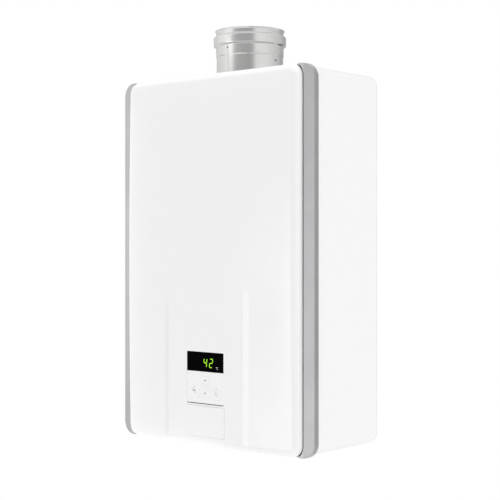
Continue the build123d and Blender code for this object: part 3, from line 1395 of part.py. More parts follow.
def service_parts():
    """Nodes of the gas train, the water valves and the electrics."""
    return {"gas_inlet": connection(gas_x), "gas_valve_body": gas_valve_body(),
            "gas_solenoids": gas_solenoids(), "modulating_plunger": valve_plunger(coil_z[0]),
            "shutoff_plunger": valve_plunger(coil_z[1]), "gas_pipe": gas_pipe(),
            "cold_inlet": water_connection(cold_x), "hot_outlet": water_connection(hot_x),
            "drain_plugs": drain_plugs(), "flow_valve_body": flow_valve_body(),
            "flow_turbine": flow_turbine(), "flow_servo": flow_servo(), "flow_spindle": flow_spindle(),
            "cold_pipe": cold_pipe(), "hot_pipe": hot_pipe(), "board_case": board_case(),
            "control_board": control_board(), "board_components": board_components(),
            "igniter": igniter(), "wiring_harness": wiring_harness()}


if __name__ == "__main__":
    os.makedirs("parts", exist_ok=True)
    for assembly in (casing_parts, cover_parts, stack_parts, service_parts):
        for node, shape in assembly().items():
            export_step(shape, f"parts/{node}.step")
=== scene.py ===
"""Dresses the wall-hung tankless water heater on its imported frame.

Metres, in the frame's own axes: X to the right, Z up, and the room toward -Y.
"""
import json
import logging
import math
from dataclasses import dataclass
from enum import Enum
from typing import Any, Sequence

import bmesh
import bpy
from mathutils import Matrix, Vector

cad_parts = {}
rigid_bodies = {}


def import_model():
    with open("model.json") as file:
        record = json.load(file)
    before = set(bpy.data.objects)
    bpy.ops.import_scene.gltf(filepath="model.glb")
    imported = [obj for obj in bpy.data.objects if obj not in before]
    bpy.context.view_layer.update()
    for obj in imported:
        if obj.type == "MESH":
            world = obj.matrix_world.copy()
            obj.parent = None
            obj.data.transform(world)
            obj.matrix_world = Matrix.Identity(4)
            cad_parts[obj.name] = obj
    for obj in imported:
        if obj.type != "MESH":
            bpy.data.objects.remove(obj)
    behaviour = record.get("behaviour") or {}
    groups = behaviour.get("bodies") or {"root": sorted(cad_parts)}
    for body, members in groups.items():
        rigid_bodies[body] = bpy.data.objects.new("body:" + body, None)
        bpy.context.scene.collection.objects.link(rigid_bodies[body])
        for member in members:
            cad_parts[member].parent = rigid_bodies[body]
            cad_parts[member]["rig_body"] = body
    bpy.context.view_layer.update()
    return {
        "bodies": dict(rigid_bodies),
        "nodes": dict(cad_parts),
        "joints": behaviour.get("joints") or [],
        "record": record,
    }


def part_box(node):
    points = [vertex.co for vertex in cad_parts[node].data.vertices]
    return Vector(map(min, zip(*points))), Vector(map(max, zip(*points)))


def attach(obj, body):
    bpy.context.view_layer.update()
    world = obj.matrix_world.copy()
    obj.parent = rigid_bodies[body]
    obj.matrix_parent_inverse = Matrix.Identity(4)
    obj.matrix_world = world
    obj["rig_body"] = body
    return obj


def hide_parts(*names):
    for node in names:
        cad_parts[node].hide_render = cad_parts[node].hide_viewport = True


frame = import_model()
MM = 0.001
LOG = logging.getLogger("water_heater")
WELD = 0.000002
SIGN_WELD = 0.000001
FLAT_TURN = 0.6
SHARP_TURN = 32.0
SIGN_TURN = 20.0
PRESSED_TURN = 40.0
EDGE_PARTS = 2
FACE_WEIGHT = 60

Colour = tuple[float, float, float]
Flat = tuple[float, float]
Point = tuple[float, float, float]


def tone(red: int, green: int, blue: int) -> Colour:
    """Turns a screen colour into the linear colour that a shader takes.

    Args:
        red: Red from 0 to 255.
        green: Green from 0 to 255.
        blue: Blue from 0 to 255.

    Returns:
        The linear red, green and blue.
    """
    parts = [value / 255 for value in (red, green, blue)]
    return tuple(v / 12.92 if v <= 0.04045 else ((v + 0.055) / 1.055) ** 2.4 for v in parts)


class Grain(Enum):
    """The fine structure of a surface."""

    PAINT = "sprayed paint with a slight orange peel"
    SATIN = "moulded plastic"
    BRUSHED_UP = "metal brushed up and down"
    ROLLED = "rolled sheet with faint level lines"
    CAST = "cast metal"
    FOAM = "open foam or rubber"
    BOARD = "circuit board"


class Effects:
    """The shader node groups that several finishes share."""

    cloud_range: Flat = (0.32, 0.68)
    dust_lean: Flat = (0.55, 1.0)
    dust_scale: float = 60.0

    def __init__(self) -> None:
        """Builds each group once."""
        self.mottle = self._mottle()
        self.streaks = self._streaks()
        self.peel = self._peel()
        self.dust = self._dust()

    @staticmethod
    def _group(name: str, inputs: dict[str, tuple[str, Any]], output: str) -> tuple[Any, Any, Any]:
        """Starts a shader group with named sockets.

        Args:
            name: The group's name.
            inputs: Socket type and default value by input name.
            output: The name of the one value it puts out.

        Returns:
            The tree, its input node and its output node.
        """
        tree = bpy.data.node_groups.new(name, "ShaderNodeTree")
        for label, (kind, value) in inputs.items():
            socket = tree.interface.new_socket(label, in_out="INPUT", socket_type=kind)
            if value is not None:
                socket.default_value = value
        tree.interface.new_socket(output, in_out="OUTPUT", socket_type="NodeSocketFloat")
        return tree, tree.nodes.new("NodeGroupInput"), tree.nodes.new("NodeGroupOutput")

    def _mottle(self) -> Any:
        """Makes the group for slow, cloudy variation over a surface.

        Returns:
            The node group.
        """
        tree, given, out = self._group("cloudy_mottle", {
            "Vector": ("NodeSocketVector", None), "Scale": ("NodeSocketFloat", 6.0)}, "Mask")
        noise = tree.nodes.new("ShaderNodeTexNoise")
        noise.inputs["Detail"].default_value = 4.0
        noise.inputs["Roughness"].default_value = 0.6
        spread = tree.nodes.new("ShaderNodeMapRange")
        spread.interpolation_type = "SMOOTHSTEP"
        spread.inputs["From Min"].default_value, spread.inputs["From Max"].default_value = self.cloud_range
        tree.links.new(given.outputs["Vector"], noise.inputs["Vector"])
        tree.links.new(given.outputs["Scale"], noise.inputs["Scale"])
        tree.links.new(noise.outputs["Fac"], spread.inputs["Value"])
        tree.links.new(spread.outputs["Result"], out.inputs["Mask"])
        return tree

    def _streaks(self) -> Any:
        """Makes the group for fine drawn lines, long in one direction.

        Returns:
            The node group.
        """
        tree, given, out = self._group("drawn_streaks", {
            "Vector": ("NodeSocketVector", None), "Stretch": ("NodeSocketVector", (1.0, 1.0, 1.0))}, "Line")
        scaled = tree.nodes.new("ShaderNodeVectorMath")
        scaled.operation = "MULTIPLY"
        fine = tree.nodes.new("ShaderNodeTexNoise")
        fine.inputs["Scale"].default_value = 1.0
        fine.inputs["Detail"].default_value = 5.0
        fine.inputs["Roughness"].default_value = 0.7
        tree.links.new(given.outputs["Vector"], scaled.inputs[0])
        tree.links.new(given.outputs["Stretch"], scaled.inputs[1])
        tree.links.new(scaled.outputs["Vector"], fine.inputs["Vector"])
        tree.links.new(fine.outputs["Fac"], out.inputs["Line"])
        return tree

    def _peel(self) -> Any:
        """Makes the group for a fine bumpy skin: paint, moulded plastic, casting or foam.

        Returns:
            The node group.
        """
        tree, given, out = self._group("fine_skin", {
            "Vector": ("NodeSocketVector", None), "Scale": ("NodeSocketFloat", 900.0),
            "Pores": ("NodeSocketFloat", 0.0)}, "Height")
        noise = tree.nodes.new("ShaderNodeTexNoise")
        noise.inputs["Detail"].default_value = 2.0
        cells = tree.nodes.new("ShaderNodeTexVoronoi")
        mix = tree.nodes.new("ShaderNodeMix")
        mix.data_type = "FLOAT"
        for node in (noise, cells):
            tree.links.new(given.outputs["Vector"], node.inputs["Vector"])
            tree.links.new(given.outputs["Scale"], node.inputs["Scale"])
        tree.links.new(given.outputs["Pores"], mix.inputs["Factor"])
        tree.links.new(noise.outputs["Fac"], mix.inputs["A"])
        tree.links.new(cells.outputs["Distance"], mix.inputs["B"])
        tree.links.new(mix.outputs["Result"], out.inputs["Height"])
        return tree

    def _dust(self) -> Any:
        """Makes the group for a thin film of dust on faces that look up.

        Returns:
            The node group.
        """
        tree, given, out = self._group("settled_dust", {
            "Vector": ("NodeSocketVector", None), "Amount": ("NodeSocketFloat", 0.1)}, "Mask")
        shape = tree.nodes.new("ShaderNodeNewGeometry")
        split = tree.nodes.new("ShaderNodeSeparateXYZ")
        facing = tree.nodes.new("ShaderNodeMapRange")
        facing.interpolation_type = "SMOOTHSTEP"
        facing.inputs["From Min"].default_value, facing.inputs["From Max"].default_value = self.dust_lean
        patchy = tree.nodes.new("ShaderNodeTexNoise")
        patchy.inputs["Scale"].default_value = self.dust_scale
        patchy.inputs["Detail"].default_value = 6.0
        both = tree.nodes.new("ShaderNodeMath")
        both.operation = "MULTIPLY"
        level = tree.nodes.new("ShaderNodeMath")
        level.operation = "MULTIPLY"
        tree.links.new(shape.outputs["Normal"], split.inputs["Vector"])
        tree.links.new(split.outputs["Z"], facing.inputs["Value"])
        tree.links.new(given.outputs["Vector"], patchy.inputs["Vector"])
        tree.links.new(facing.outputs["Result"], both.inputs[0])
        tree.links.new(patchy.outputs["Fac"], both.inputs[1])
        tree.links.new(both.outputs["Value"], level.inputs[0])
        tree.links.new(given.outputs["Amount"], level.inputs[1])
        tree.links.new(level.outputs["Value"], out.inputs["Mask"])
        return tree


DUST_COLOUR = tone(150, 144, 134)
COAT_ROUGH = 0.06
STRETCH = {Grain.BRUSHED_UP: (1500.0, 1500.0, 9.0), Grain.ROLLED: (9.0, 9.0, 1300.0)}
SKIN = {Grain.PAINT: (420.0, 0.0), Grain.SATIN: (2400.0, 0.25), Grain.CAST: (1300.0, 0.5),
        Grain.FOAM: (1700.0, 0.9), Grain.BOARD: (700.0, 0.2)}


@dataclass(frozen=True)
class Finish:
    """One surface finish and the values that its nodes take.

    Attributes:
        name: The material's name.
        colour: Main linear colour.
        second: Colour that the mottle mixes in.
        rough: Lowest and highest roughness.
        metal: Metallic value.
        grain: Fine structure.
        bump: Height of the fine structure in metres.
        mottle: Scale of the cloudy variation.
        dust: Amount of dust on top faces.
        coat: Weight of a clear coat.
        glow: Emission strength, in the main colour.
        shine: Level of the surface's own reflection.
    """

    name: str
    colour: Colour
    second: Colour
    rough: Flat
    metal: float = 0.0
    grain: Grain = Grain.SATIN
    bump: float = 0.00001
    mottle: float = 7.0
    dust: float = 0.0
    coat: float = 0.0
    glow: float = 0.0
    shine: float = 0.5

    def build(self, effects: Effects) -> bpy.types.Material:
        """Builds the material's nodes.

        Args:
            effects: The shared node groups.

        Returns:
            The new material.
        """
        material = bpy.data.materials.new(self.name)
        material.use_nodes = True
        tree = material.node_tree
        shader = tree.nodes["Principled BSDF"]
        shader.inputs["Metallic"].default_value = self.metal
        shader.inputs["Coat Weight"].default_value = self.coat
        shader.inputs["Specular IOR Level"].default_value = self.shine
        shader.inputs["Coat Roughness"].default_value = COAT_ROUGH
        place = tree.nodes.new("ShaderNodeTexCoord").outputs["Object"]
        mottle = self._placed(tree, effects.mottle, place, Scale=self.mottle).outputs["Mask"]
        height = self._structure(tree, effects, place)
        colour = self._blend(tree, mottle, self.colour, self.second)
        if self.dust:
            film = self._placed(tree, effects.dust, place, Amount=self.dust).outputs["Mask"]
            colour = self._blend(tree, film, colour, DUST_COLOUR)
        tree.links.new(colour, shader.inputs["Base Color"])
        rough = tree.nodes.new("ShaderNodeMapRange")
        rough.inputs["To Min"].default_value = self.rough[0]
        rough.inputs["To Max"].default_value = self.rough[1]
        tree.links.new(height if self.grain in STRETCH else mottle, rough.inputs["Value"])
        tree.links.new(rough.outputs["Result"], shader.inputs["Roughness"])
        bump = tree.nodes.new("ShaderNodeBump")
        bump.inputs["Strength"].default_value = 1.0
        bump.inputs["Distance"].default_value = self.bump
        tree.links.new(height, bump.inputs["Height"])
        tree.links.new(bump.outputs["Normal"], shader.inputs["Normal"])
        if self.glow:
            shader.inputs["Emission Color"].default_value = (*self.colour, 1.0)
            shader.inputs["Emission Strength"].default_value = self.glow
        return material

    @staticmethod
    def _placed(tree: Any, group: Any, place: Any, **values: Any) -> Any:
        """Puts one shared group in a material.

        Args:
            tree: The material's node tree.
            group: The shared group.
            place: The coordinate socket.
            **values: Input values by name.

        Returns:
            The group's node.
        """
        node = tree.nodes.new("ShaderNodeGroup")
        node.node_tree = group
        tree.links.new(place, node.inputs["Vector"])
        for label, value in values.items():
            node.inputs[label].default_value = value
        return node

    def _structure(self, tree: Any, effects: Effects, place: Any) -> Any:
        """Adds the fine structure's group.

        Args:
            tree: The material's node tree.
            effects: The shared node groups.
            place: The coordinate socket.

        Returns:
            The height socket.
        """
        if self.grain in STRETCH:
            return self._placed(tree, effects.streaks, place, Stretch=STRETCH[self.grain]).outputs["Line"]
        scale, pores = SKIN[self.grain]
        return self._placed(tree, effects.peel, place, Scale=scale, Pores=pores).outputs["Height"]

    @staticmethod
    def _blend(tree: Any, mask: Any, first: Any, second: Any) -> Any:
        """Mixes two colours, or a socket and a colour, by a mask.

        Args:
            tree: The material's node tree.
            mask: The mask's socket.
            first: Colour or socket where the mask is dark.
            second: Colour where the mask is light.

        Returns:
            The mixed colour's socket.
        """
        mix = tree.nodes.new("ShaderNodeMix")
        mix.data_type = "RGBA"
        colours = [s for s in mix.inputs if s.type == "RGBA"]
        tree.links.new(mask, mix.inputs["Factor"])
        for socket, value in zip(colours, (first, second)):
            if isinstance(value, tuple):
                socket.default_value = (*value, 1.0)
            else:
                tree.links.new(value, socket)
        return next(s for s in mix.outputs if s.type == "RGBA")


WHITE_ENAMEL = Finish("white_enamel", tone(249, 249, 249), tone(248, 248, 248), (0.08, 0.11),
                      grain=Grain.PAINT, bump=0.000004, mottle=40.0, coat=0.3)
CASING_WHITE = Finish("casing_white", tone(246, 246, 246), tone(245, 245, 245), (0.32, 0.38),
                      grain=Grain.PAINT, bump=0.000012, mottle=40.0, dust=0.04)
TRIM_GREY = Finish("trim_grey", tone(192, 192, 193), tone(184, 184, 186), (0.28, 0.4), metal=0.85,
                   grain=Grain.BRUSHED_UP, bump=0.000006, mottle=9.0)
# Painted shade: a darker copy of the trim finish for the trims' side faces
TRIM_SIDE_SHADE = Finish("trim_side_painted_shade", tone(172, 172, 174), tone(164, 164, 166), (0.32, 0.44), metal=0.85,
                   grain=Grain.BRUSHED_UP, bump=0.000006, mottle=9.0)
FLUE_STEEL = Finish("flue_steel", tone(226, 226, 225), tone(216, 216, 215), (0.16, 0.3), metal=1.0,
                    grain=Grain.ROLLED, bump=0.000003, mottle=12.0)
# Painted shade: a darker steel for the collar's round spots, standing in for the shade of a dent
SPOT_SHADE_STEEL = Finish("spot_steel_painted_shade", tone(120, 120, 120), tone(104, 104, 104), (0.3, 0.42), metal=1.0,
                    grain=Grain.ROLLED, bump=0.000003, mottle=12.0)
ZINC = Finish("zinc_plate", tone(186, 189, 192), tone(164, 168, 174), (0.28, 0.42), metal=1.0,
              grain=Grain.CAST, bump=0.000008, mottle=60.0, dust=0.1)
SCREW_STEEL = Finish("screw_steel", tone(190, 190, 188), tone(165, 165, 163), (0.2, 0.34), metal=1.0,
                     grain=Grain.ROLLED, bump=0.000004, mottle=200.0)
FRAME_DARK = Finish("frame_dark", tone(66, 68, 71), tone(58, 60, 63), (0.45, 0.55), grain=Grain.PAINT)
FOAM_BLACK = Finish("foam_black", tone(38, 38, 39), tone(28, 28, 29), (0.85, 0.95), grain=Grain.FOAM,
                    bump=0.0002, mottle=40.0)
RUBBER = Finish("rubber_black", tone(42, 42, 43), tone(33, 33, 34), (0.6, 0.72), bump=0.00002,
                mottle=50.0)
WINDOW_BLACK = Finish("window_black", tone(6, 6, 7), tone(3, 3, 4), (0.08, 0.12), grain=Grain.PAINT,
                      bump=0.000002, shine=0.012)
PANEL_WHITE = Finish("panel_white", tone(251, 251, 251), tone(249, 249, 249), (0.32, 0.38))
# Partly the housing's own grey, partly painted shade: darkened so the gap below the panel reads as shadow
HOUSING_SHADE_DARK = Finish("housing_painted_shade", tone(48, 49, 51), tone(42, 43, 45), (0.5, 0.6), bump=0.00002)
DIGIT_GREEN = Finish("digit_green", tone(152, 222, 48), tone(146, 216, 44), (0.4, 0.5), glow=0.75,
                     shine=0.1)
UNIT_PALE = Finish("unit_pale", tone(178, 184, 186), tone(168, 174, 176), (0.4, 0.5), glow=0.35)
LAMP_CLEAR = Finish("lamp_clear", tone(150, 162, 158), tone(132, 146, 142), (0.1, 0.16), coat=0.5)
PRINT_GREY = Finish("print_grey", tone(104, 107, 112), tone(94, 97, 102), (0.5, 0.6))
PRINT_DARK = Finish("print_dark", tone(46, 48, 52), tone(38, 40, 44), (0.5, 0.6))
COPPER = Finish("copper_sheet", tone(206, 132, 92), tone(170, 98, 66), (0.22, 0.42), metal=1.0,
                grain=Grain.ROLLED, mottle=18.0, dust=0.08)
BRASS = Finish("brass", tone(204, 172, 104), tone(182, 148, 84), (0.22, 0.36), metal=1.0,
               grain=Grain.CAST, mottle=60.0)
CAST_ALLOY = Finish("cast_alloy", tone(172, 174, 176), tone(148, 150, 153), (0.42, 0.6), metal=0.9,
                    grain=Grain.CAST, bump=0.00005, mottle=45.0, dust=0.1)
ALUMINISED = Finish("aluminised_steel", tone(186, 187, 188), tone(160, 161, 162), (0.3, 0.5), metal=1.0,
                    grain=Grain.CAST, mottle=30.0, dust=0.12)
BURNER_STEEL = Finish("burner_steel", tone(160, 156, 150), tone(126, 118, 112), (0.3, 0.5), metal=1.0,
                      grain=Grain.ROLLED, mottle=26.0)
CERAMIC = Finish("ceramic_white", tone(232, 228, 218), tone(224, 219, 208), (0.24, 0.32), coat=0.3)
FAN_GREY = Finish("fan_grey", tone(122, 125, 129), tone(108, 111, 115), (0.4, 0.52), grain=Grain.CAST,
                  bump=0.00003, dust=0.15)
MOTOR_BLACK = Finish("motor_black", tone(44, 45, 48), tone(34, 35, 38), (0.4, 0.52), grain=Grain.CAST,
                     bump=0.00003, mottle=30.0, dust=0.1)
COIL_BLACK = Finish("coil_black", tone(36, 37, 40), tone(28, 29, 32), (0.35, 0.45), bump=0.00003)
VALVE_PLASTIC = Finish("valve_plastic", tone(72, 74, 78), tone(60, 62, 66), (0.42, 0.54), bump=0.00003)
SERVO_BLUE = Finish("servo_blue", tone(56, 88, 128), tone(46, 76, 114), (0.4, 0.5), bump=0.00002)
BOARD_GREEN = Finish("board_green", tone(34, 92, 58), tone(26, 76, 48), (0.28, 0.38), grain=Grain.BOARD,
                     bump=0.00002, mottle=120.0)
CASE_GREY = Finish("case_grey", tone(198, 199, 196), tone(188, 189, 186), (0.45, 0.55), bump=0.00003,
                   dust=0.1)
SOCKET_WHITE = Finish("socket_white", tone(230, 228, 220), tone(222, 220, 212), (0.4, 0.5), bump=0.00002)
RELAY_BLACK = Finish("relay_black", tone(34, 38, 44), tone(28, 32, 38), (0.3, 0.4), bump=0.00002)
CAP_SLEEVE = Finish("cap_sleeve", tone(46, 56, 92), tone(38, 48, 82), (0.25, 0.35))
TRAFO_TAPE = Finish("trafo_tape", tone(206, 172, 66), tone(192, 158, 56), (0.35, 0.5))
SINK_ALLOY = Finish("sink_alloy", tone(190, 192, 194), tone(176, 178, 181), (0.3, 0.45), metal=1.0,
                    grain=Grain.BRUSHED_UP)
IGNITER_GREY = Finish("igniter_grey", tone(98, 96, 94), tone(86, 84, 82), (0.5, 0.6), bump=0.00003,
                      dust=0.15)
LEAD_COLOURS = {
    "lead_white": tone(222, 220, 214), "lead_black": tone(36, 36, 38), "lead_red": tone(168, 36, 32),
    "lead_blue": tone(40, 74, 148), "lead_yellow": tone(206, 170, 40), "lead_grey": tone(120, 122, 124),
    "lead_orange": tone(206, 110, 40)}
LEADS = [Finish(name, colour, tuple(0.88 * c for c in colour), (0.4, 0.5), mottle=90.0)
         for name, colour in LEAD_COLOURS.items()]


class Recipe:
    """One Geometry Nodes tree with named inputs, turned into plain meshes."""

    def __init__(self, name: str, inputs: dict[str, str]) -> None:
        """Starts the tree.

        Args:
            name: The tree's name.
            inputs: Socket type by input name.
        """
        self.tree = bpy.data.node_groups.new(name, "GeometryNodeTree")
        self.sockets = {label: self.tree.interface.new_socket(label, in_out="INPUT", socket_type=kind)
                        for label, kind in inputs.items()}
        self.tree.interface.new_socket("Geometry", in_out="OUTPUT", socket_type="NodeSocketGeometry")
        self.given = self.tree.nodes.new("NodeGroupInput")

    def add(self, kind: str, **links: Any) -> Any:
        """Adds a node and feeds its inputs.

        Args:
            kind: The node's type.
            **links: Sockets or plain values by input name, with spaces as underscores.

        Returns:
            The node.
        """
        node = self.tree.nodes.new(kind)
        for label, value in links.items():
            self.feed(node, label.replace("_", " "), value)
        return node

    def feed(self, node: Any, label: str, value: Any) -> None:
        """Links a socket to an enabled input or sets that input's value.

        Args:
            node: The node to feed.
            label: The input's name.
            value: A socket or a plain value.
        """
        target = next(s for s in node.inputs if s.name == label and s.enabled)
        if isinstance(value, bpy.types.NodeSocket):
            self.tree.links.new(value, target)
        else:
            target.default_value = value

    def input(self, label: str) -> Any:
        """Gives the socket of a named input."""
        return self.given.outputs[label]

    def close(self, geometry: Any) -> None:
        """Ends the tree in real geometry with its material.

        Args:
            geometry: The geometry socket to end with.
        """
        real = self.add("GeometryNodeRealizeInstances", Geometry=geometry)
        dressed = self.add("GeometryNodeSetMaterial", Geometry=real.outputs["Geometry"],
                           Material=self.input("Finish"))
        smooth = self.add("GeometryNodeSetShadeSmooth", Geometry=dressed.outputs["Geometry"],
                          Shade_Smooth=False)
        out = self.tree.nodes.new("NodeGroupOutput")
        self.tree.links.new(smooth.outputs["Geometry"], out.inputs["Geometry"])

    def mesh(self, name: str, **values: Any) -> bpy.types.Mesh:
        """Evaluates the tree once.

        Args:
            name: The new mesh's name.
            **values: Values by input name.

        Returns:
            A plain mesh.
        """
        carrier = bpy.data.objects.new(f"{name}.carrier", bpy.data.meshes.new(f"{name}.carrier"))
        bpy.context.scene.collection.objects.link(carrier)
        modifier = carrier.modifiers.new("recipe", "NODES")
        modifier.node_group = self.tree
        for label, value in values.items():
            modifier[self.sockets[label].identifier] = value
        bpy.context.view_layer.update()
        graph = bpy.context.evaluated_depsgraph_get()
        made = bpy.data.meshes.new_from_object(carrier.evaluated_get(graph))
        made.name = name
        carrier.modifiers.clear()
        bpy.data.objects.remove(carrier)
        return made


class Recipes:
    """The trees for what repeats on the heater."""

    washer_wide: float = 1.45
    washer_thin: float = 0.35
    chip_least: Point = (1.2 * MM, 0.8 * MM, 0.5 * MM)
    chip_most: Point = (3.4 * MM, 1.8 * MM, 1.4 * MM)

    def __init__(self) -> None:
        """Builds each tree once."""
        self.thread = self._thread()
        self.row = self._row()
        self.ribs = self._ribs()
        self.scatter = self._scatter()
        self.ring = self._ring()

    @staticmethod
    def _thread() -> Recipe:
        """Makes a screw thread as a wire wound round an upright stub.

        Returns:
            The tree.
        """
        made = Recipe("wound_thread", {
            "Turns": "NodeSocketFloat", "Radius": "NodeSocketFloat", "Length": "NodeSocketFloat",
            "Wire": "NodeSocketFloat", "Place": "NodeSocketVector", "Finish": "NodeSocketMaterial"})
        coil = made.add("GeometryNodeCurveSpiral", Resolution=48, Rotations=made.input("Turns"),
                        Start_Radius=made.input("Radius"), End_Radius=made.input("Radius"),
                        Height=made.input("Length"))
        wire = made.add("GeometryNodeCurvePrimitiveCircle", Resolution=6, Radius=made.input("Wire"))
        tube = made.add("GeometryNodeCurveToMesh", Curve=coil.outputs["Curve"],
                        Profile_Curve=wire.outputs["Curve"], Fill_Caps=True)
        seat = made.add("GeometryNodeTransform", Geometry=tube.outputs["Mesh"],
                        Translation=made.input("Place"))
        made.close(seat.outputs["Geometry"])
        return made

    def _row(self) -> Recipe:
        """Makes a row of hexagonal screw heads.

        Returns:
            The tree.
        """
        made = Recipe("screw_row", {
            "Count": "NodeSocketInt", "Start": "NodeSocketVector", "Step": "NodeSocketVector",
            "Radius": "NodeSocketFloat", "Height": "NodeSocketFloat", "Turn": "NodeSocketVector",
            "Finish": "NodeSocketMaterial"})
        line = made.add("GeometryNodeMeshLine", Count=made.input("Count"), Start_Location=made.input("Start"),
                        Offset=made.input("Step"))
        head = made.add("GeometryNodeMeshCylinder", Vertices=6, Radius=made.input("Radius"),
                        Depth=made.input("Height"))
        sizes = []
        for label, share in (("Radius", self.washer_wide), ("Height", self.washer_thin)):
            scaled = made.add("ShaderNodeMath", Value=made.input(label))
            scaled.operation = "MULTIPLY"
            scaled.inputs[1].default_value = share
            sizes.append(scaled.outputs["Value"])
        washer = made.add("GeometryNodeMeshCylinder", Vertices=24, Radius=sizes[0], Depth=sizes[1])
        both = made.tree.nodes.new("GeometryNodeJoinGeometry")
        made.tree.links.new(head.outputs["Mesh"], both.inputs["Geometry"])
        made.tree.links.new(washer.outputs["Mesh"], both.inputs["Geometry"])
        placed = made.add("GeometryNodeInstanceOnPoints", Points=line.outputs["Mesh"],
                          Instance=both.outputs["Geometry"], Rotation=made.input("Turn"))
        made.close(placed.outputs["Instances"])
        return made

    @staticmethod
    def _ribs() -> Recipe:
        """Makes a row of round-backed ribs pressed out of a sheet.

        Returns:
            The tree.
        """
        made = Recipe("pressed_ribs", {
            "Count": "NodeSocketInt", "Start": "NodeSocketVector", "Step": "NodeSocketVector",
            "Run": "NodeSocketVector", "Radius": "NodeSocketFloat", "Finish": "NodeSocketMaterial"})
        places = made.add("GeometryNodeMeshLine", Count=made.input("Count"),
                          Start_Location=made.input("Start"), Offset=made.input("Step"))
        run = made.add("GeometryNodeCurvePrimitiveLine", End=made.input("Run"))
        shape = made.add("GeometryNodeCurvePrimitiveCircle", Resolution=16, Radius=made.input("Radius"))
        rib = made.add("GeometryNodeCurveToMesh", Curve=run.outputs["Curve"],
                       Profile_Curve=shape.outputs["Curve"], Fill_Caps=True)
        placed = made.add("GeometryNodeInstanceOnPoints", Points=places.outputs["Mesh"],
                          Instance=rib.outputs["Mesh"])
        made.close(placed.outputs["Instances"])
        return made

    def _scatter(self) -> Recipe:
        """Makes small chip parts on a grid over a board that faces the room.

        Returns:
            The tree.
        """
        made = Recipe("chip_parts", {
            "Width": "NodeSocketFloat", "Height": "NodeSocketFloat", "Columns": "NodeSocketInt",
            "Rows": "NodeSocketInt", "Keep": "NodeSocketFloat", "Seed": "NodeSocketInt",
            "Place": "NodeSocketVector", "Finish": "NodeSocketMaterial"})
        sheet = made.add("GeometryNodeMeshGrid", Size_X=made.input("Width"), Size_Y=made.input("Height"),
                         Vertices_X=made.input("Columns"), Vertices_Y=made.input("Rows"))
        chance = made.tree.nodes.new("FunctionNodeRandomValue")
        chance.data_type = "BOOLEAN"
        made.feed(chance, "Probability", made.input("Keep"))
        made.feed(chance, "Seed", made.input("Seed"))
        size = made.tree.nodes.new("FunctionNodeRandomValue")
        size.data_type = "FLOAT_VECTOR"
        made.feed(size, "Min", self.chip_least)
        made.feed(size, "Max", self.chip_most)
        made.feed(size, "Seed", made.input("Seed"))
        block = made.add("GeometryNodeMeshCube", Size=(1.0, 1.0, 1.0))
        placed = made.add("GeometryNodeInstanceOnPoints", Points=sheet.outputs["Mesh"],
                          Selection=chance.outputs[3], Instance=block.outputs["Mesh"],
                          Scale=size.outputs[0])
        upright = made.add("GeometryNodeTransform", Geometry=placed.outputs["Instances"],
                           Translation=made.input("Place"))
        made.feed(upright, "Rotation", (math.pi / 2, 0.0, 0.0))
        made.close(upright.outputs["Geometry"])
        return made

    @staticmethod
    def _ring() -> Recipe:
        """Makes blocks set round an upright or level circle.

        Returns:
            The tree.
        """
        made = Recipe("ring_of_blocks", {
            "Count": "NodeSocketInt", "Radius": "NodeSocketFloat", "Size": "NodeSocketVector",
            "Place": "NodeSocketVector", "Turn": "NodeSocketVector", "Finish": "NodeSocketMaterial"})
        circle = made.add("GeometryNodeMeshCircle", Vertices=made.input("Count"), Radius=made.input("Radius"))
        block = made.add("GeometryNodeMeshCube", Size=made.input("Size"))
        spot = made.tree.nodes.new("GeometryNodeInputPosition")
        facing = made.add("FunctionNodeAlignRotationToVector", Vector=spot.outputs["Position"])
        facing.axis = "X"
        facing.pivot_axis = "Z"
        placed = made.add("GeometryNodeInstanceOnPoints", Points=circle.outputs["Mesh"],
                          Instance=block.outputs["Mesh"], Rotation=facing.outputs["Rotation"])
        seat = made.add("GeometryNodeTransform", Geometry=placed.outputs["Instances"],
                        Translation=made.input("Place"), Rotation=made.input("Turn"))
        made.close(seat.outputs["Geometry"])
        return made


